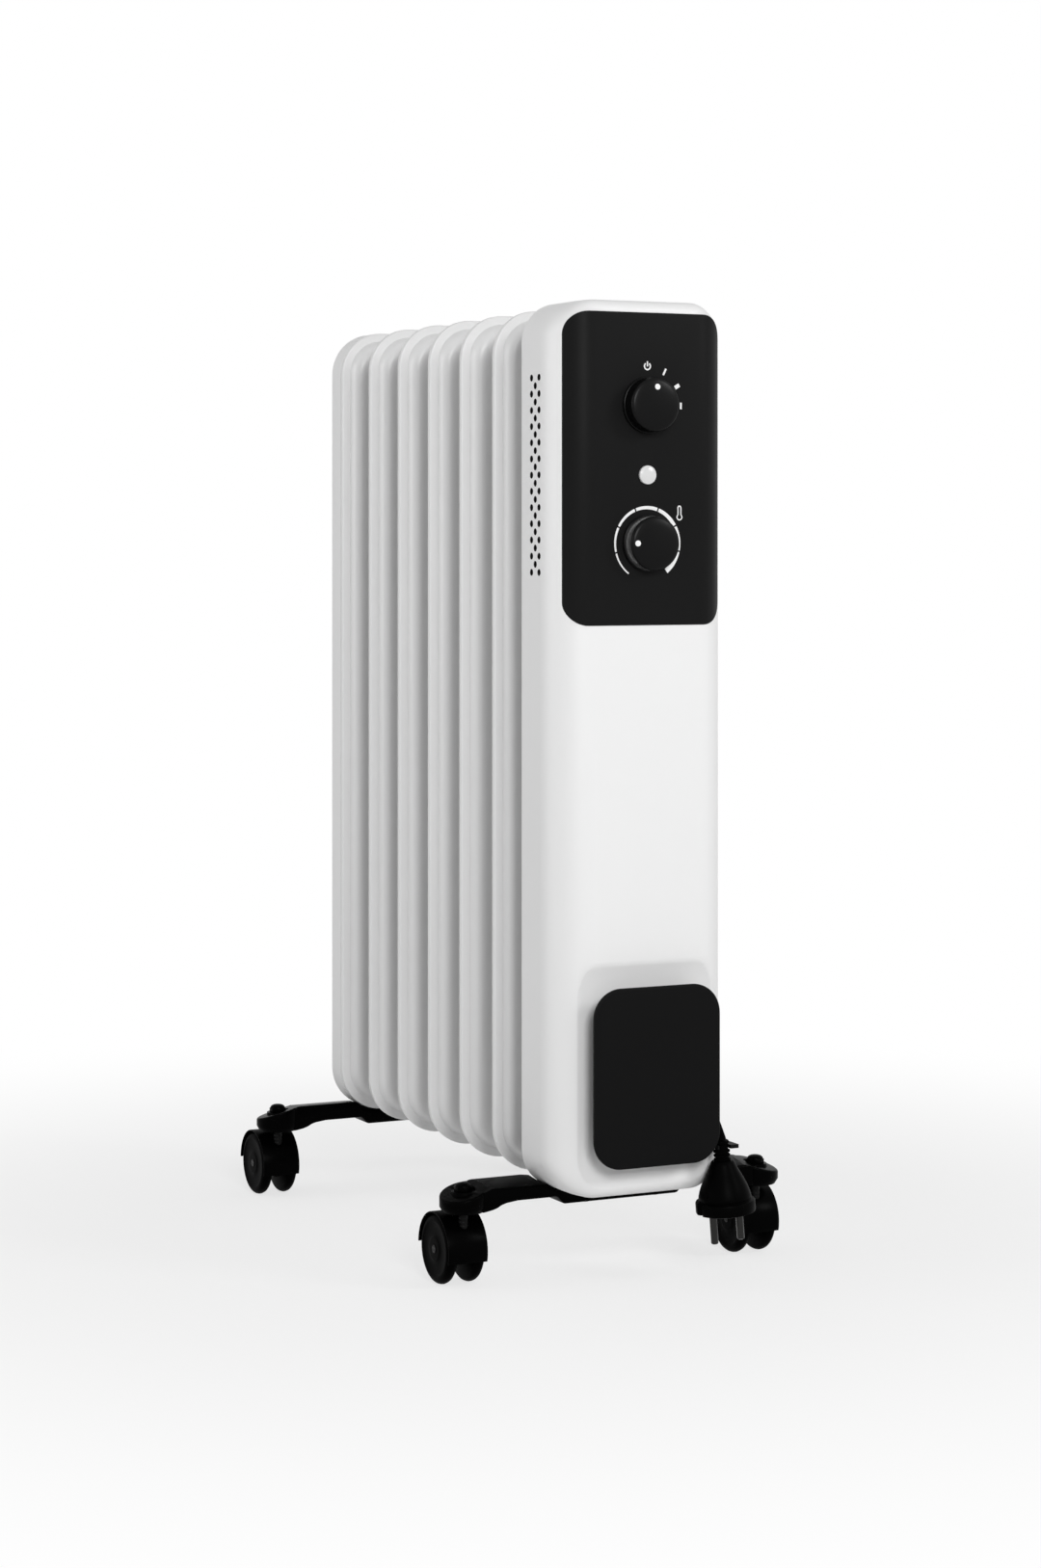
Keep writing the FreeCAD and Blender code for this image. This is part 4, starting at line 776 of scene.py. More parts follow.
    def build_plug(self) -> list[Piece]:
        """Body with its flange and notches, two pins, and the ribbed strain relief.

        Returns:
            The three pieces.
        """
        profile = [(17.6, -4.0), (18.7, -3.6), (19.0, -2.8), (19.0, 2.8), (18.7, 3.6), (17.6, 4.0), (17.0, 4.1),
                   (16.6, 4.5), (16.9, 5.2), (16.7, 7.0), (15.9, 10.0), (14.6, 13.5), (12.7, 17.5), (10.9, 21.0),
                   (9.3, 24.0), (8.2, 26.6), (7.4, 28.4), (6.6, 29.1)]
        body = turned("plug_shell", profile, self.plug_place(0.0), self.up(), 64)
        for side in (-1.0, 1.0):
            foot = self.plug_place(0.0, side * self.notch_reach)
            cut(body, turned("notch", [(3.2, -6.0), (3.2, 4.02)], foot, self.up(), 24))
            slot = block("slot", Vector((-0.0021, -0.0021, -0.006)), Vector((0.0021, 0.0021, 0.0105)))
            slot.rotation_euler = Euler((0.0, -radians(self.lean), 0.0))
            slot.location = self.plug_place(0.0, side * (self.notch_reach + 0.4))
            cut(body, settle(slot))
        smooth(body, 35.0)
        pins = []
        for side in (-1.0, 1.0):
            profile = [(1.5, 0.0), (2.1, 0.3), (2.4, 1.0), (2.4, 19.0), (2.0, 19.05), (2.0, 24.5)]
            pins.append(turned("plug_pin", profile, self.plug_place(-23.0, side * self.pin_reach), self.up(), 24))
        contacts = join("plug_contacts", pins)
        ribs = [(5.0, 29.1)]
        for rib in range(3):
            start = 29.2 + 2.6 * rib
            ribs += [(5.3, start + 0.2), (5.3, start + 1.2), (5.0, start + 1.4), (4.2, start + 1.5),
                     (4.2, start + 2.4)]
        ribs += [(3.9, 37.0), (3.9, 39.7), (4.6, 39.9), (4.9, 40.3), (4.9, 41.4),
                 (4.5, self.relief_end), (3.6, self.relief_end)]
        relief = turned("plug_relief", ribs, self.plug_place(0.0), self.up(), 32)
        self.fit(body, PLUG_BLACK, "black_plastic", ("plug_body",))
        # The pins get the nickel that is darkened into a painted dark reflection.
        self.fit(contacts, PAINTED_DARK_NICKEL, "pin_brass", ("plug_pins",))
        self.fit(relief, RUBBER, "cord_rubber", ("plug_strain_relief",))
        return [body, contacts, relief]

    def build(self) -> None:
        cord = self.build_cord()
        gland = self.build_gland()
        plug = self.build_plug()


# ---- radiator ----


@dataclass
class Radiator(PlateAssembly):
    """Seven pressed fins and the header collars between them."""

    count: int = 7
    pitch: float = 50.8
    first: float = 48.0
    rim: float = 2.2
    hem: float = 0.9
    land: float = 5.3
    pillow: Profile = (
        (0.4, 0.1), (0.5, 1.0), (0.9, 2.4), (1.2, 2.0), (1.6, 1.3), (2.2, 0.8), (3.2, 0.5), (6.0, 0.4))
    header_rise: float = 42.0

    def build_fin(self) -> Piece:
        """Shape the first fin: a hemmed plate with a pillow pressed out on both sides.

        Returns:
            The fin.
        """
        fin = self.plate("fin_shell_1", self.first - self.rim, self.first + self.rim)
        round_rim(fin, lambda middle, normal: abs(normal.y) > 0.9, self.hem, 3)
        pick_faces(fin, lambda middle, normal: abs(normal.y) > 0.99 and abs(
            abs(middle.y * MM - FACE - self.first) - self.rim) < 0.01)
        inset(self.land - self.hem)
        for width, rise in self.pillow:
            inset(width, rise)
        inset(6.0)
        close()
        return smooth(fin, 40.0)

    def build_collars(self) -> Piece:
        """Flared tubes that join neighbouring fins at the two headers.

        Returns:
            All the tubes as one piece.
        """
        bulge = self.rim + sum(rise for _, rise in self.pillow)
        span = self.pitch - 2.0 * bulge
        half = [(28.0, -0.3), (26.0, 0.25), (24.0, 1.0), (22.4, 2.4), (21.4, 4.6), (21.0, 7.4),
                (21.0, span / 2.0 - 1.6), (21.5, span / 2.0 - 1.1)]
        profile = half + [(radius, span - along) for radius, along in reversed(half)]
        collars = []
        first = turned("collar", profile, place(0.0, self.first + bulge, self.low + self.header_rise), BACKWARD, 40)
        lift = (self.high - self.low - 2.0 * self.header_rise) / MM
        for index in range(self.count - 1):
            for row in (0, 1):
                if index or row:
                    move = Vector((0.0, index * self.pitch / MM, row * lift))
                    collars.append(twin(first, "collar", move))
        return join("header_collars", [first] + collars)

    def build(self) -> None:
        """Build the fins and collars."""
        first = self.build_fin()
        fins = [first]
        for index in range(1, self.count):
            move = Vector((0.0, index * self.pitch / MM, 0.0))
            fins.append(twin(first, f"fin_shell_{index + 1}", move))
        for index, fin in enumerate(fins):
            self.fit(fin, WHITE_ENAMEL, "white_paint", (f"fin_{index + 1}",))
        self.fit(self.build_collars(), WHITE_ENAMEL, "white_paint", ("header_sleeves",))


@dataclass
class RearCover(PlateAssembly):
    """Moulded cover on the last fin, held by two screws."""

    front: float = 355.0
    back: float = 375.5
    edge: float = 6.0
    screw_rise: float = 90.0

    def build_shell(self) -> Piece:
        """Rounded cover with a shallow field inside its border.

        Returns:
            The cover.
        """
        shell = self.plate("rear_shell", self.front, self.back)
        round_rim(shell, lambda middle, normal: normal.y > 0.9, self.edge, 6)
        pick_faces(shell, lambda middle, normal: normal.y > 0.999)
        for width, rise in ((5.0, 0.0), (0.5, -0.1), (0.8, -0.6), (0.5, -0.1), (6.0, 0.0)):
            inset(width, rise)
        close()
        return smooth(shell, 40.0)

    def build_screw(self, z: float, foot: float, head: float, way: float) -> Piece:
        """Screw with a crossed recess in its head.

        Args:
            z: height of the screw.
            foot: depth of its tip.
            head: depth of the seat of its head.
            way: 1 when the head faces back, -1 when it faces the front.

        Returns:
            The screw.
        """
        shank = abs(head - foot)
        profile = [(1.6, 0.0), (2.0, 0.5), (2.0, shank), (3.5, shank), (3.8, shank + 0.3), (3.8, shank + 0.8),
                   (3.2, shank + 1.5), (1.8, shank + 1.8)]
        screw = turned("screw", profile, place(0.0, foot, z), Vector((0.0, way, 0.0)), 28)
        end = head + way * 1.8
        for across, up in ((2.3, 0.45), (0.45, 2.3)):
            near, far = sorted((end - way * 1.1, end + way * 0.5))
            cut(screw, block("cross", place(-across, near, z - up), place(across, far, z + up)))
        return screw

    def build(self) -> None:
        """Build the cover and the screws of both covers."""
        self.fit(self.build_shell(), WHITE_SHELL, "white_shell", ("rear_cover",))
        screws = [self.build_screw(z, 347.6, self.back - 0.8, 1.0)
                  for z in (self.low + self.screw_rise, self.high - self.screw_rise)]
        screws += [self.build_screw(z, 10.4, 0.0, -1.0) for z in (112.0, 156.0)]
        self.fit(smooth(join("cover_screws", screws)), ZINC_STEEL, "plain_steel", ("housing_screws",))


# ---- front housing and controls ----


@dataclass
class FrontHousing(SubAssembly):
    """Moulded housing with rounded front corners, side vents and the cord winder's recess."""

    half_width: float = 61.9
    low: float = 57.1
    high: float = 621.3
    corner: float = 25.6
    plan: float = 25.5
    edge: float = 8.0
    ease: float = 0.7
    back: float = 53.1
    wall: float = 2.4
    floor: float = 5.4
    skirt: float = 1.5
    skirt_front: float = 44.0
    recess: Section = (3.0, 54.0, 68.0, 199.3, 20.0)
    recess_profile: Profile = (
        (3.0, -9.8), (2.94, -7.8), (2.76, -5.8), (2.45, -3.8), (2.02, -1.8), (1.47, 0.2), (0.8, 2.2), (0.0, 4.2),
        (-1.0, 6.5))
    vent_radius: float = 2.2
    vent_depth: float = 33.6
    vent_spread: float = 5.3
    vent_low: float = 449.7
    vent_pitch: float = 10.25
    vent_rows: int = 13
    openings: Profile = ((555.1, 5.2), (511.2, 6.2), (468.0, 5.2))

    def rings(self, wall: float, back: float, least: float) -> list[Section]:
        """Sections of the housing's outline, moved in by a wall thickness.

        Args:
            wall: how far they are moved in.
            back: depth of the last section.
            least: no section stands nearer the front than this depth.

        Returns:
            The sections from the front to the back.
        """
        plan, edge = self.plan - wall, self.edge - wall
        made = []
        for step in range(15):
            turn = radians(90.0 * (step / 14.0) ** 1.15)
            run = plan * (1.0 - cos(turn))
            half = self.half_width - self.plan + plan * sin(turn)
            drop = edge - sqrt(edge ** 2 - max(0.0, edge - run) ** 2)
            corner = self.corner - wall - self.ease * plan * (1.0 - sin(turn))
            pull = wall + drop
            made.append((max(wall + run, least), half, self.low + pull, self.high - pull, corner))
        made.append((back, self.half_width - wall, self.low + wall, self.high - wall, self.corner - wall))
        return made

    def vent_tools(self) -> Piece:
        """Pins that cut the staggered vent holes in both sides.

        Returns:
            All the pins as one tool.
        """
        reach = self.half_width + 3.0
        profile = [(self.vent_radius, 0.0), (self.vent_radius, 2.0 * reach)]
        first = turned("vent", profile, place(-reach, self.vent_depth, self.vent_low), RIGHT, 20)
        pins = []
        for row in range(2 * self.vent_rows - 1):
            for column in ((-1, 1) if row % 2 == 0 else (0,)):
                move = Vector((0.0, column * self.vent_spread, row * self.vent_pitch / 2.0)) / MM
                pins.append(twin(first, "vent", move))
        bpy.data.objects.remove(first)
        return join("vents", pins)

    def slice_up(self, shell: Piece) -> None:
        """Cut the long faces across, so that each opening only disturbs the faces next to it.

        Args:
            shell: the housing's outer shape.
        """
        edit(shell)
        for z in (61.0, 206.0, 210.0, 220.0, 330.0, 440.0, 446.0, 581.0, 587.0):
            slice_all(Vector((0.0, 0.0, z / MM)), UP)
        close()

    def painted_shade_face(self, middle: Vector, normal: Vector) -> bool:
        """Whether a face lies on the inner side of the wall, or in the thickness of a vent, and so gets the near-black
        painted shade.

        Args:
            middle: the face's middle.
            normal: its normal.

        Returns:
            True for a face that isn't seen from outside.
        """
        x, depth, z = middle.x * MM, middle.y * MM - FACE, middle.z * MM
        spine = place(0.0, 40.0, min(max(z, self.low + 40.0), self.high - 40.0))
        inward = normal.dot((middle - spine).normalized()) < -0.2
        vent = abs(x) > 58.0 and abs(depth - self.vent_depth) < 8.0 and abs(normal.x) < 0.5
        return inward or (vent and 445.0 < z < 580.0)

    def build(self) -> None:
        """Build the housing and cut its openings."""
        shell = drawn("front_shell", self.rings(0.0, self.back, 0.0), 14)
        self.slice_up(shell)
        cut(shell, drawn("hollow", self.rings(self.wall, self.skirt_front, self.floor), 10))
        inner = (self.half_width - self.skirt, self.low + self.skirt, self.high - self.skirt, self.corner - self.skirt)
        cut(shell, drawn("skirt", [(self.skirt_front - 0.5, *inner), (self.back + 2.0, *inner)], 14))
        _, half, low, high, corner = self.recess
        cut(shell, drawn("recess", [
            (depth, half + grow, low - grow, high + grow, corner + grow) for depth, grow in self.recess_profile]))
        cut(shell, self.vent_tools())
        for z, radius in self.openings:
            cut(shell, turned("opening", [(radius, 0.0), (radius, 12.0)], place(0.0, -3.0, z), BACKWARD, 32))
        modify(shell, "WEIGHTED_NORMAL", keep_sharp=True, weight=60)
        smooth(shell, 19.0)
        self.fit(shell, WHITE_SHELL, "white_shell", ("front_housing",))
        # The inner faces and vent walls get a near-black painted shade, so that the vents look dark.
        self.dress(shell, PAINTED_SHADE_INSIDE, self.painted_shade_face)


@dataclass
class Knob(SubAssembly):
    """Turning knob with a thin base flange, a soft shoulder and a white dot, and if asked a painted sheen on its
    barrel.
    """

    node: str = "selector_knob"
    z: float = 555.1
    dot_turn: float = 3.0
    dot_reach: float = 11.2
    back: float = -1.3
    dot_radius: float = 1.85
    # whether the barrel gets the lighter band that paints a sheen on it
    painted_sheen_side: bool = False
    profile: Profile = (
        (17.2, 0.0), (17.8, 0.25), (17.9, 0.6), (17.9, 1.5), (17.75, 1.8), (17.3, 1.95), (17.15, 2.3),
        (17.05, 9.3), (16.85, 10.2), (16.4, 10.9), (15.8, 11.3), (14.8, 11.6), (12.0, 12.02), (8.5, 12.32),
        (4.5, 12.52), (1.0, 12.6))

    def face_at(self, reach: float) -> tuple[float, float]:
        """Height of the knob's face above its back, and its slope, at a distance from its middle.

        Args:
            reach: distance from the knob's middle, in millimetres.

        Returns:
            Height in millimetres, and slope.
        """
        for (r0, a0), (r1, a1) in zip(self.profile, self.profile[1:]):
            if a0 > 11.0 and r1 <= reach <= r0:
                slope = (a1 - a0) / (r0 - r1)
                return a0 + slope * (r0 - reach), slope
        return self.profile[-1][1], 0.0

    def build(self) -> None:
        """Turn the knob and print its dot."""
        knob = turned(f"{self.body}_grip", self.profile, place(0.0, self.back, self.z), FORWARD, 96)
        self.fit(smooth(knob, 50.0), KNOB_BLACK, "black_plastic", (self.node,))
        # A lighter band with full specular paints a sheen on the barrel.
        if self.painted_sheen_side:
            self.dress(knob, PAINTED_SHEEN_SIDE, lambda middle, normal: abs(normal.y) < 0.1 and
                       2.5 < self.back + FACE - middle.y * MM < 9.0)
        across, up = sin(radians(self.dot_turn)), cos(radians(self.dot_turn))
        rise, slope = self.face_at(self.dot_reach)
        profile = [(self.dot_radius, -0.6), (self.dot_radius, 0.03), (self.dot_radius - 0.15, 0.08), (0.3, 0.1)]
        foot = place(self.dot_reach * across, self.back - rise, self.z + self.dot_reach * up)
        dot = turned(f"{self.body}_dot", profile, foot, Vector((slope * across, -1.0, slope * up)), 32)
        self.fit(dot, WHITE_INK, "white_plastic")


@dataclass
class ControlPanel(PlateAssembly):
    """Dark panel wrapped round the housing's front, with its lamp and printed marks."""

    half_width: float = 55.6
    low: float = 416.4
    high: float = 613.6
    corner: float = 14.5
    proud: float = 0.7
    sunk: float = 1.5
    flat: float = 36.4
    plan: float = 25.5
    selector_z: float = 555.1
    lamp_z: float = 511.2
    thermostat_z: float = 468.0
    mark_radius: float = 24.6
    scale_radius: float = 23.6
    scale_start: float = -145.0
    scale_parts: int = 7
    part_angle: float = 41.43
    part_gap: float = 2.6
    openings: Profile = ((555.1, 5.2), (511.2, 6.1), (468.0, 5.2))

    def build_plate(self) -> Piece:
        """Rounded plate, softened at its edge, sliced upright and bent round the corners.

        Returns:
            The plate.
        """
        plate = self.plate("panel_plate", -self.proud, self.sunk, 12)
        round_rim(plate, lambda middle, normal: normal.y < -0.9, 0.45, 3)
        for step in range(10):
            for side in (-1.0, 1.0):
                slice_all(place(side * (self.flat + 2.0 * step), 0.0, 0.0), RIGHT)
        close()
        for vert in plate.data.vertices:
            reach = abs(vert.co.x) * MM - self.flat
            if reach > 0.0:
                depth = vert.co.y * MM - FACE
                bent = self.plan - sqrt((self.plan - depth) ** 2 - reach ** 2)
                vert.co.y = (FACE + bent) / MM
        for z, radius in self.openings:
            cut(plate, turned("opening", [(radius, 0.0), (radius, 8.0)], place(0.0, -4.0, z), BACKWARD, 40))
        return smooth(plate, 35.0)

    def ring(self, x: float, z: float, radius: float, start: float, end: float) -> Path:
        """Path along a circle, by clock angles in degrees from straight up.

        Args:
            x, z: the circle's middle.
            radius: its radius.
            start, end: clock angles of the two ends.

        Returns:
            Function from a share of the arc to (x, z).
        """
        def path(share: float) -> tuple[float, float]:
            """Place at a share of the arc."""
            turn = radians(start + (end - start) * share)
            return x + radius * sin(turn), z + radius * cos(turn)
        return path

    def bar(self, radius: float, turn: float, length: float, tilt: float) -> Path:
        """Short straight path beside the selector, tilted clockwise from upright.

        Args:
            radius: distance from the selector's middle.
            turn: clock angle round the selector.
            length: length of the path.
            tilt: its own angle.

        Returns:
            Function from a share of the path to (x, z).
        """
        x = radius * sin(radians(turn))
        z = self.selector_z + radius * cos(radians(turn))
        along_x, along_z = sin(radians(tilt)), cos(radians(tilt))
        return lambda share: (x + (share - 0.5) * length * along_x, z + (share - 0.5) * length * along_z)

    def build_selector_marks(self) -> list[Piece]:
        """Power mark and three heat steps round the selector.

        Returns:
            The strokes.
        """
        ring_z = self.selector_z + self.mark_radius
        strokes = (("power_ring", self.ring(0.0, ring_z, 2.1, 36.0, 324.0), 0.9, 28),
                   ("power_line", lambda share: (0.0, ring_z - 0.1 + 3.2 * share), 0.9, 2),
                   ("step_one", self.bar(self.mark_radius, 30.0, 4.5, 27.0), 1.3, 2),
                   ("step_two", self.bar(self.mark_radius, 60.0, 3.6, 60.0), 2.5, 2),
                   ("step_three", self.bar(24.0, 90.0, 4.1, 0.0), 1.3, 2))
        return [stroke(name, path, lambda share, wide=wide: wide, -self.proud, steps)
                for name, path, wide, steps in strokes]

    def build_scale(self) -> list[Piece]:
        """Seven-part arc that widens clockwise round the thermostat, and a thermometer.

        Returns:
            The strokes.
        """
        face = -self.proud
        made = []
        for index in range(self.scale_parts):
            start = self.scale_start + self.part_angle * index
            end = start + self.part_angle - self.part_gap
            first, last = (0.85 + 2.4 * step / self.scale_parts for step in (index, index + 0.95))

            def width(share: float, first: float = first, last: float = last) -> float:
                """Width of the part at a share of its length."""
                return first + (last - first) * share

            def path(share: float, start: float = start, end: float = end) -> tuple[float, float]:
                """Place on the part's middle line."""
                turn = radians(start + (end - start) * share)
                radius = self.scale_radius - width(share) / 2.0
                return radius * sin(turn), self.thermostat_z + radius * cos(turn)

            made.append(stroke("scale_part", path, width, face, 14))
        x, z = 30.0 * sin(radians(50.0)), self.thermostat_z + 30.0 * cos(radians(50.0))
        bulb, top, half = z - 2.6, z + 3.3, 1.05
        made.append(stroke("bulb", self.ring(x, bulb, 1.75, 37.0, 323.0), lambda share: 0.75, face, 28))
        made.append(stroke("stem_end", self.ring(x, top, half, -90.0, 90.0), lambda share: 0.75, face, 16))
        for side in (-half, half):
            made.append(stroke("stem_side", lambda share, side=side: (
                x + side, bulb + 1.3 + (top - bulb - 1.3) * share), lambda share: 0.75, face, 2))
        return made

    def build_lamp(self) -> Piece:
        """Frosted lens of the pilot lamp, with a fine rim.

        Returns:
            The lens.
        """
        profile = [(6.0, 0.0), (6.0, 2.4), (5.85, 2.75), (5.5, 2.95), (5.2, 2.9), (4.9, 3.0), (4.0, 3.3),
                   (2.6, 3.55), (1.2, 3.68), (0.3, 3.7)]
        lens = turned("lamp_dome", profile, place(0.0, 1.0, self.lamp_z), FORWARD, 56)
        return smooth(lens, 40.0)

    def build(self) -> None:
        """Build the plate, lamp and marks."""
        self.fit(self.build_plate(), PANEL_BLACK, "black_gloss", ("control_panel",))
        self.fit(self.build_lamp(), FROSTED_LENS, "lamp", ("lamp_lens",))
        marks = join("panel_marks", self.build_selector_marks() + self.build_scale())
        self.fit(marks, WHITE_INK, "white_plastic")


@dataclass
class WinderCover(PlateAssembly):
    """Cover plate that the cord winds behind."""

    half_width: float = 44.6
    low: float = 77.6
    high: float = 190.4
    corner: float = 19.0
    front: float = -15.3
    back: float = -12.3

    def build(self) -> None:
        """Build the plate with its soft front edge and the peg behind it."""
        plate = self.plate("winder_plate", self.front, self.back)
        round_rim(plate, lambda middle, normal: normal.y < -0.9, 1.1, 4)
        round_rim(plate, lambda middle, normal: normal.y > 0.9, 0.4, 2)
        close()
        peg = (8.4, 134.0 - 30.4, 134.0 + 30.4, 8.39)
        unite(plate, drawn("peg", [(self.back - 0.6, *peg), (self.back + 4.0, *peg)]))
        self.fit(smooth(plate, 35.0), COVER_BLACK, "black_plastic", ("winder_cover",))


# ---- feet and casters ----


@dataclass
class FootBar(SubAssembly):
    """Bar under the body with a round boss at each end."""

    node: str = "front_foot_bar"
    middle: float = 47.1
    seat: float = 57.1
    seat_half_width: float = 61.9
    seat_corner: float = 25.6
    reach: float = 105.9
    half_depth: float = 12.5
    out: float = -1.0
    top: float = 63.7
    fall: float = 0.12
    boss_rise: float = 12.9
    boss_fall: float = 0.15
    boss_fall_out: float = 0.25
    nut_seat: float = 7.6
    underside: Profile = (
        (0.0, 48.6), (41.0, 48.6), (45.0, 53.5), (73.0, 53.5), (81.0, 52.5), (91.0, 48.8), (98.0, 47.6))

    def bottom_at(self, x: float) -> float:
        """Height of the underside at a distance from the middle.

        Args:
            x: distance from the bar's middle, in millimetres.

        Returns:
            Height in millimetres.
        """
        for (x0, z0), (x1, z1) in zip(self.underside, self.underside[1:]):
            if x <= x1 + 1e-6:
                share = (x - x0) / (x1 - x0)
                return z0 + (z1 - z0) * share * share * (3.0 - 2.0 * share)
        return self.underside[-1][1]

    def top_at(self, x: float, behind: float) -> float:
        """Height of the top, which follows the body's rounded corner and then slopes outwards.

        Args:
            x: distance from the bar's middle, in millimetres.
            behind: depth behind the bar's middle line.

        Returns:
            Height in millimetres.
        """
        reach = x - (self.seat_half_width - self.seat_corner)
        radius = self.seat_corner + 0.3
        if reach <= 0.0:
            return self.seat
        rise = radius - sqrt(max(radius ** 2 - reach ** 2, 0.0)) if reach < radius else radius
        return min(self.seat + rise - 0.3, self.top - self.fall * self.out * behind)

    def tilt(self, piece: Piece, least: float, most: float) -> Piece:
        """Slope the rings of a turned piece that lie between two heights, all but its nut seat.

        Args:
            piece: piece to change.
            least, most: the two heights, in millimetres.

        Returns:
            The same piece.
        """
        for vert in piece.data.vertices:
            behind = vert.co.y * MM - FACE - self.middle
            across = abs(vert.co.x) * MM - self.reach
            if least < vert.co.z * MM < most and hypot(across, behind) > self.nut_seat + 0.1:
                vert.co.z -= (self.boss_fall * self.out * behind + self.boss_fall_out * across) / MM
        return piece

    def build_boss(self, side: float) -> Piece:
        """Round boss with a sloping top and a flat seat for its nut.

        Args:
            side: -1 for the left end of the bar, 1 for the right.

        Returns:
            The boss.
        """
        top = self.boss_rise
        profile = [(12.6, 0.0), (12.95, 0.15), (13.2, 0.5), (15.0, 3.5), (15.0, top - 1.0), (14.9, top - 0.6),
                   (14.6, top - 0.25), (14.2, top - 0.07), (13.7, top), (self.nut_seat + 0.3, top),
                   (self.nut_seat, 13.0)]
        boss = turned("boss", profile, place(side * self.reach, self.middle, 47.5), UP, 56)
        return self.tilt(boss, 56.0, 70.0)

    def build_scoop(self, side: float) -> Piece:
        """Tool that lowers the beam round a boss to the boss's own slope.

        Args:
            side: -1 for the left end of the bar, 1 for the right.

        Returns:
            The tool.
        """
        profile = [(18.0, self.boss_rise - 0.05), (18.0, 30.0)]
        scoop = turned("scoop", profile, place(side * self.reach, self.middle, 47.5), UP, 64)
        return self.tilt(scoop, 56.0, 70.0)

    def build_beam(self) -> Piece:
        """Beam sliced across its length and shaped slice by slice.

        Returns:
            The beam.
        """
        end = self.underside[-1][0]
        beam = block("beam", place(-end, self.middle - self.half_depth, 47.6),
                     place(end, self.middle + self.half_depth, self.top))
        edit(beam)
        slices = (8.0, 36.3, 38.5, 41.0, 43.0, 45.0, 47.5, 50.0, 52.5, 54.7, 60.0, 73.0, 77.0, 81.0, 84.3, 87.6,
                  91.0, 94.5)
        for slice_x in slices:
            for side in (-1.0, 1.0):
                slice_all(Vector((side * slice_x / MM, 0.0, 0.0)), RIGHT)
        close()
        for vert in beam.data.vertices:
            x, behind = abs(vert.co.x) * MM, vert.co.y * MM - FACE - self.middle
            upper = vert.co.z * MM > 56.0
            vert.co.z = (self.top_at(x, behind) if upper else self.bottom_at(x)) / MM
        soften(beam, 0.0016, 3, 50.0)
        return beam

    def build(self) -> None:
        """Build the beam and grow its bosses into it."""
        bar = self.build_beam()
        bar.name = f"{self.node}_body"
        for side in (-1.0, 1.0):
            cut(bar, self.build_scoop(side))
            unite(bar, self.build_boss(side))
        self.fit(smooth(bar, 38.0), FOOT_BLACK, "black_plastic", (self.node,))


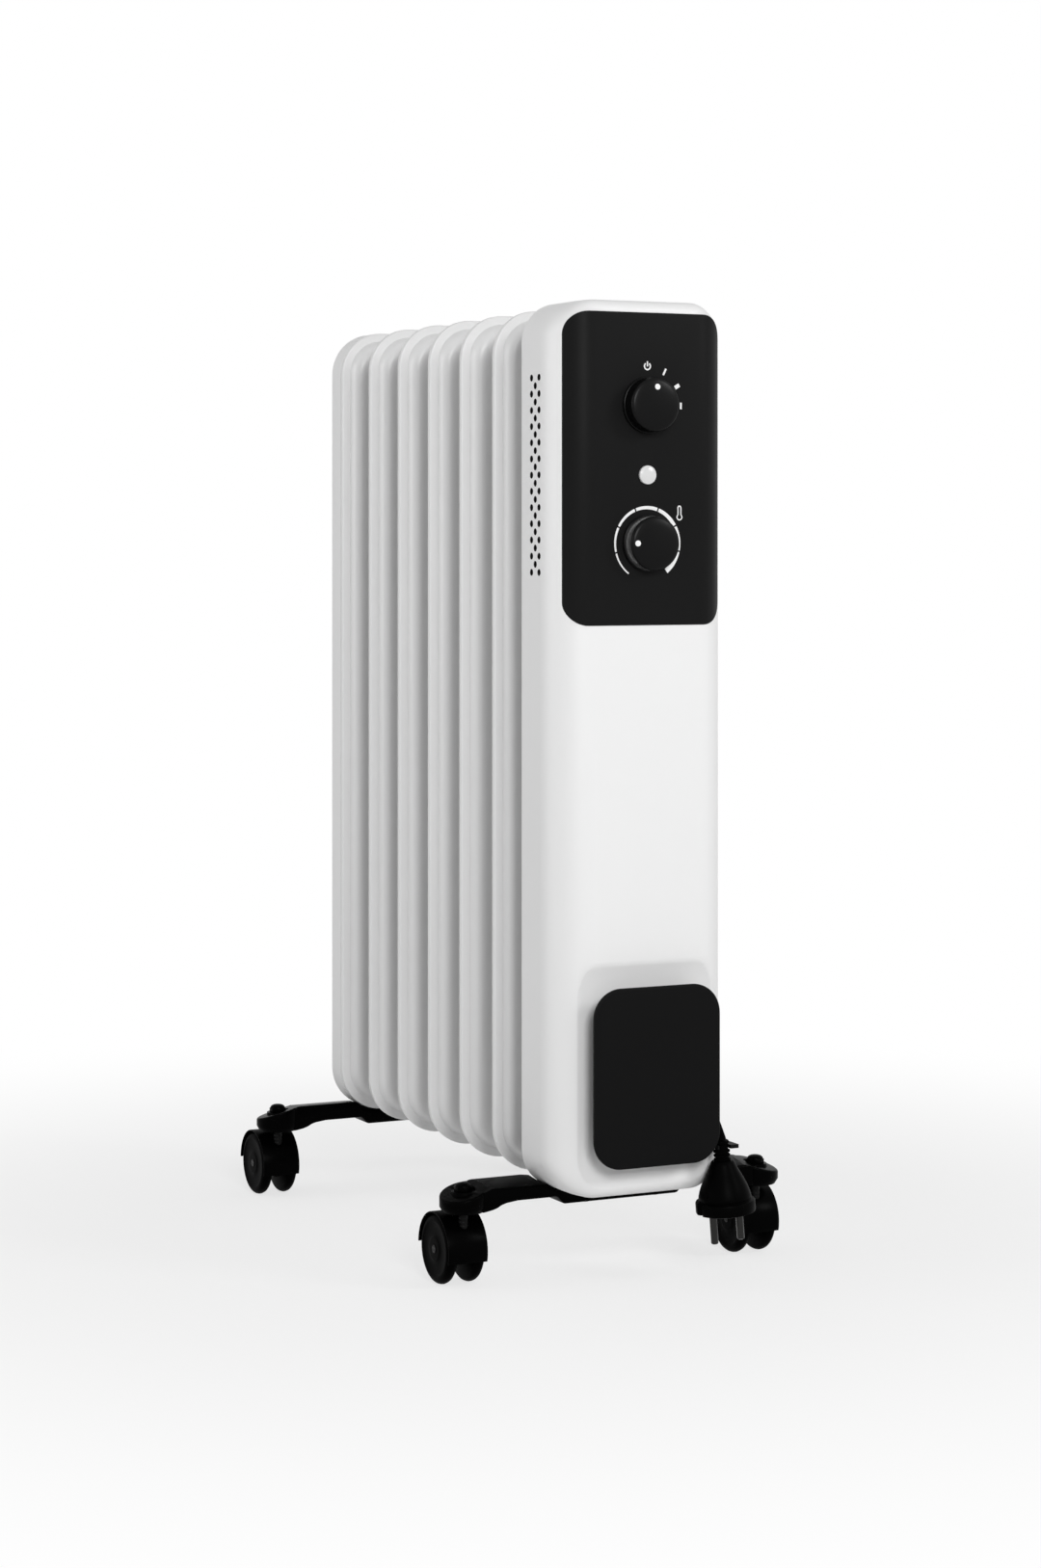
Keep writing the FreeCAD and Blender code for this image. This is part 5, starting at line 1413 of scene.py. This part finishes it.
@dataclass
class CasterSet(SubAssembly):
    """Four twin-wheel casters with their hoods, and the cap nuts over their stems."""

    reach: float = 105.9
    rows: tuple[tuple[str, float], ...] = (("front", 47.1), ("rear", 362.6))
    trail: float = 15.3
    wheel_radius: float = 22.2
    wheel_start: float = 4.6
    hood_inner: float = 22.7
    hood_outer: float = 23.6
    hood_half: float = 13.6
    web_half: float = 4.2
    core: float = 11.4
    front_angle: float = -15.0
    back_angle: float = 178.0
    foot_top: float = 60.5
    stem_bore: float = 3.05
    pin_bore: float = 2.52
    wheel_bore: float = 2.55

    def swept(self, name: str, axle: Vector, half: float, inner: float, outer: float) -> Piece:
        """Band swept round the axle from the hood's front end to its back end.

        Args:
            name: name of the new piece.
            axle: middle of the axle, and of the band, in metres.
            half: half width of the band.
            inner: its inner radius.
            outer: its outer radius.

        Returns:
            The band, closed at both ends.
        """
        low = axle + Vector((-half, -outer, -0.0001)) / MM
        high = axle + Vector((half, -inner, 0.0001)) / MM
        band = block(name, low, high)
        edit(band)
        pick_faces(band, lambda middle, normal: normal.z < 0.5)
        bpy.ops.mesh.delete(type="FACE")
        select_all()
        bpy.ops.object.mode_set(mode="OBJECT")
        start = radians(self.front_angle)
        band.data.transform(Matrix.Translation(axle) @ Matrix.Rotation(start, 4, "X").inverted()
                            @ Matrix.Translation(-axle))
        edit(band)
        select_all()
        sweep = radians(self.back_angle - self.front_angle)
        bpy.ops.mesh.spin(steps=40, angle=sweep, center=axle, axis=(1.0, 0.0, 0.0))
        select_all()
        bpy.ops.mesh.remove_doubles(threshold=1e-6)
        close()
        return band

    def build_hood(self, x: float, back: float) -> Piece:
        """Shell over both wheels with the web and core between them.

        Args:
            x: X of the stem.
            back: depth of the stem.

        Returns:
            The hood, with its bores.
        """
        axle = place(x, back + self.trail, self.wheel_radius)
        hood = self.swept("hood", axle, self.hood_half, self.hood_inner, self.hood_outer)
        soften(hood, 0.00035, 2, 50.0)
        web = self.swept("web", axle, self.web_half, 3.0, self.hood_outer - 0.35)
        core = turned("core", [(self.core, 0.0), (self.core, 2.0 * self.web_half - 0.02)],
                      axle + Vector((-self.web_half + 0.01, 0.0, 0.0)) / MM, RIGHT, 40)
        unite(hood, web)
        unite(hood, core)
        stem = turned("stem", [(self.stem_bore, 0.0), (self.stem_bore, 40.0)], place(x, back, 19.8), UP, 28)
        cut(hood, stem)
        axle_pin = turned("pin", [(self.pin_bore, 0.0), (self.pin_bore, 40.0)], axle - RIGHT * 0.02, RIGHT, 28)
        cut(hood, axle_pin)
        return smooth(hood, 35.0)

    def build_wheel(self, x: float, back: float, side: float) -> Piece:
        """Wheel with a rounded tread, a dished face and a hub cap.

        Args:
            x: X of the stem.
            back: depth of the stem.
            side: -1 for the left wheel of the pair, 1 for the right.

        Returns:
            The wheel, with its bore.
        """
        profile = [(6.0, 0.0), (11.0, 0.0), (15.7, 0.6), (19.6, 1.25), (20.6, 1.5), (21.4, 2.2), (21.85, 3.1),
                   (22.2, 4.3), (22.1, 5.4), (21.75, 6.5), (21.1, 7.4), (20.2, 8.1), (19.2, 8.5), (18.2, 8.6),
                   (17.4, 8.55), (17.0, 8.4), (16.6, 8.25), (11.0, 8.1), (8.2, 8.1), (7.8, 8.25), (7.3, 8.4),
                   (6.6, 8.45)]
        foot = place(x + side * self.wheel_start, back + self.trail, self.wheel_radius)
        wheel = turned("wheel", profile, foot, Vector((side, 0.0, 0.0)), 72)
        bore = turned("bore", [(self.wheel_bore, -2.0), (self.wheel_bore, 12.0)], foot, Vector((side, 0.0, 0.0)), 28)
        cut(wheel, bore)
        return smooth(wheel, 40.0)

    def build_cap(self, x: float, back: float) -> Piece:
        """Domed cap nut on top of a boss.

        Args:
            x: X of the stem.
            back: depth of the stem.

        Returns:
            The nut.
        """
        take()
        bpy.ops.mesh.primitive_cylinder_add(vertices=6, radius=0.006, depth=0.0038,
                                            location=place(x, back, self.foot_top + 1.1))
        nut = settle(bpy.context.active_object)
        soften(nut, 0.0005, 2, 40.0)
        profile = [(5.3, 2.4), (5.25, 3.2), (4.9, 4.0), (4.1, 4.7), (2.9, 5.2), (1.4, 5.45), (0.3, 5.5)]
        dome = turned("dome", profile, place(x, back, self.foot_top), UP, 40)
        unite(nut, dome)
        return smooth(nut, 40.0)

    def build(self) -> None:
        """Build one caster and copy it to the four corners."""
        back = self.rows[0][1]
        hood = self.build_hood(-self.reach, back)
        wheels = {side: self.build_wheel(-self.reach, back, side) for side in (-1.0, 1.0)}
        cap = self.build_cap(-self.reach, back)
        caps = []
        for name, depth in self.rows:
            for hand, side in (("left", -1.0), ("right", 1.0)):
                corner = f"{name}_{hand}"
                move = Vector((side * self.reach + self.reach, depth - back, 0.0)) / MM
                self.fit(twin(hood, f"{corner}_shroud", move), FOOT_BLACK, "black_plastic",
                         (f"{corner}_hood",), f"{corner}_caster")
                for out in (-1.0, 1.0):
                    which = "outer" if out == side else "inner"
                    self.fit(twin(wheels[out], f"{corner}_{which}_tyre", move), WHEEL_BLACK,
                             "wheel_plastic", (f"{corner}_wheel_{which}",), f"{corner}_{which}_wheel")
                caps.append(twin(cap, "cap", move))
        for spare in (hood, cap, *wheels.values()):
            bpy.data.objects.remove(spare)
        self.fit(join("stem_caps", caps), FOOT_BLACK, "black_plastic", ("cap_nuts",))


# ---- solids that stay as they are ----


@dataclass
class FrameParts:
    """Solids of the frame that stay visible and only get a finish."""

    special: dict[str, Finish] = field(default_factory=lambda: {
        "caster_stems": DARK_STEM, "foot_bolts": BLACK_BOLT, "cord_winder": COVER_BLACK,
        **{f"{row}_{hand}_axle": DARK_STEM for row in ("front", "rear") for hand in ("left", "right")}})

    def build(self) -> None:
        """Give every solid that is still shown the finish of its slot."""
        for part in frame["record"]["subparts"]:
            name = part["node"]
            node = frame["nodes"][name]
            if node.hide_render:
                continue
            finish = self.special.get(name, SLOT_FINISH[part["material_slot"]])
            for slot in node.material_slots:
                slot.material = finish.material()
            if not node.material_slots:
                node.data.materials.append(finish.material())
            LOG.info("%s: %s", name, finish.name)


# ---- studio ----


@dataclass(frozen=True)
class Lamp:
    """One soft lamp: where it stands, where it points, how large and how strong it is."""

    name: str
    spot: Point
    aim: Point
    size: float
    watts: float

    def build(self) -> None:
        """Hang the lamp."""
        light = bpy.data.lights.new(self.name, "AREA")
        light.shape = "SQUARE"
        light.size = self.size
        light.energy = self.watts
        lamp = bpy.data.objects.new(self.name, light)
        bpy.context.scene.collection.objects.link(lamp)
        lamp.location = self.spot
        lamp.rotation_euler = (Vector(self.aim) - Vector(self.spot)).to_track_quat("-Z", "Y").to_euler()


@dataclass
class Studio:
    """Camera, lamps, pale floor and white surroundings."""

    lens: float = 74.27
    shift: float = -0.1544
    spot: Point = (-0.96365, -1.99213, 0.46897)
    heading: float = -25.93
    ambient: float = 0.26
    lamps: tuple[Lamp, ...] = (
        Lamp("key", (-0.65, -2.9, 1.4), (0.0, 0.0, 0.33), 0.9, 42.0),
        Lamp("right", (2.0, -2.2, 1.7), (0.0, 0.0, 0.25), 0.7, 20.5),
        Lamp("left", (-2.9, 0.8, 1.1), (0.0, 0.1, 0.3), 1.8, 21.5),
    )

    def build_camera(self) -> None:
        """Set the camera level, in front and to the left."""
        view = bpy.data.cameras.new("camera")
        view.sensor_width = 36.0
        view.lens = self.lens
        view.shift_y = self.shift
        view.clip_end = 60.0
        camera = bpy.data.objects.new("camera", view)
        bpy.context.scene.collection.objects.link(camera)
        camera.location = self.spot
        camera.rotation_euler = (pi / 2.0, 0.0, radians(self.heading))
        bpy.context.scene.camera = camera

    @staticmethod
    def seen_rays(tree: Tree) -> Socket:
        """Value that is 1 for the rays that show the surroundings.

        Args:
            tree: node tree of the world or the floor.

        Returns:
            The socket with the value.
        """
        path = add_node(tree, "LightPath").outputs
        value = path["Is Camera Ray"]
        for name in ("Is Glossy Ray", "Is Transmission Ray"):
            value = add_node(tree, "Math", {0: value, 1: path[name]}, operation="MAXIMUM").outputs["Value"]
        return value

    @staticmethod
    def blend(tree: Tree, share: Socket, lit: Socket, seen: Socket, surface: Socket) -> None:
        """Show one shader in part over another.

        Args:
            tree: tree that they are in.
            share: how much of the second one shows.
            lit: first shader.
            seen: second shader.
            surface: where the result goes.
        """
        mix = add_node(tree, "MixShader", {"Fac": share, 1: lit, 2: seen})
        tree.links.new(mix.outputs["Shader"], surface)

    def build_world(self) -> None:
        """White surroundings with a softer light of their own."""
        world = bpy.data.worlds.new("surroundings")
        world.use_nodes = True
        bpy.context.scene.world = world
        tree = world.node_tree
        soft, white = tree.nodes["Background"], add_node(tree, "Background")
        plug_in(tree, soft, {"Color": WHITE, "Strength": self.ambient})
        plug_in(tree, white, {"Color": WHITE, "Strength": 1.0})
        self.blend(tree, self.seen_rays(tree), soft.outputs["Background"], white.outputs["Background"],
                   tree.nodes["World Output"].inputs["Surface"])

    def build_floor(self) -> None:
        """Pale floor that keeps a soft shadow and fades to white away from the heater."""
        take()
        bpy.ops.mesh.primitive_plane_add(size=40.0, location=(0.0, 0.0, -0.0004))
        floor = settle(bpy.context.active_object)
        floor.name = "floor"
        made = bpy.data.materials.new("pale_floor")
        made.use_nodes = True
        tree = made.node_tree
        matt = tree.nodes["Principled BSDF"]
        plug_in(tree, matt, {"Base Color": (0.90, 0.90, 0.90, 1.0), "Roughness": 0.9, "Specular IOR Level": 0.0})
        glow = add_node(tree, "Emission", {"Strength": 1.0})
        reach = add_node(tree, "VectorMath", {0: add_node(tree, "TexCoord").outputs["Object"]}, operation="LENGTH")
        fade = add_node(tree, "MapRange", {"From Min": 0.2, "From Max": 0.9, "To Min": 0.7, "To Max": 1.0,
                                           "Value": reach.outputs["Value"]}, interpolation_type="SMOOTHSTEP")
        share = add_node(tree, "Math", {0: fade.outputs["Result"], 1: self.seen_rays(tree)}, operation="MULTIPLY")
        self.blend(tree, share.outputs["Value"], matt.outputs["BSDF"], glow.outputs["Emission"],
                   tree.nodes["Material Output"].inputs["Surface"])
        floor.data.materials.append(made)

    def build(self) -> None:
        """Build the lamps, the floor and the surroundings."""
        for lamp in self.lamps:
            lamp.build()
        self.build_world()
        self.build_floor()
        bpy.context.scene.view_settings.view_transform = "Standard"


def main() -> None:
    """Build the camera and the cord first, then the heater from the fins outwards."""
    logging.basicConfig(level=logging.INFO, format="%(name)s %(message)s")
    studio = Studio()
    studio.build_camera()
    MainsLead().build()
    studio.build()
    Radiator().build()
    RearCover().build()
    FrontHousing().build()
    ControlPanel().build()
    Knob(body="selector").build()
    Knob(body="thermostat", node="thermostat_knob", z=468.0, dot_turn=-90.0, dot_reach=13.2, painted_sheen_side=True).build()
    WinderCover().build()
    FootBar().build()
    FootBar(node="rear_foot_bar", middle=362.6, seat=58.7, seat_half_width=60.3, seat_corner=30.0, out=1.0).build()
    CasterSet().build()
    FrameParts().build()
    take()


if __name__ == "__main__":
    main()
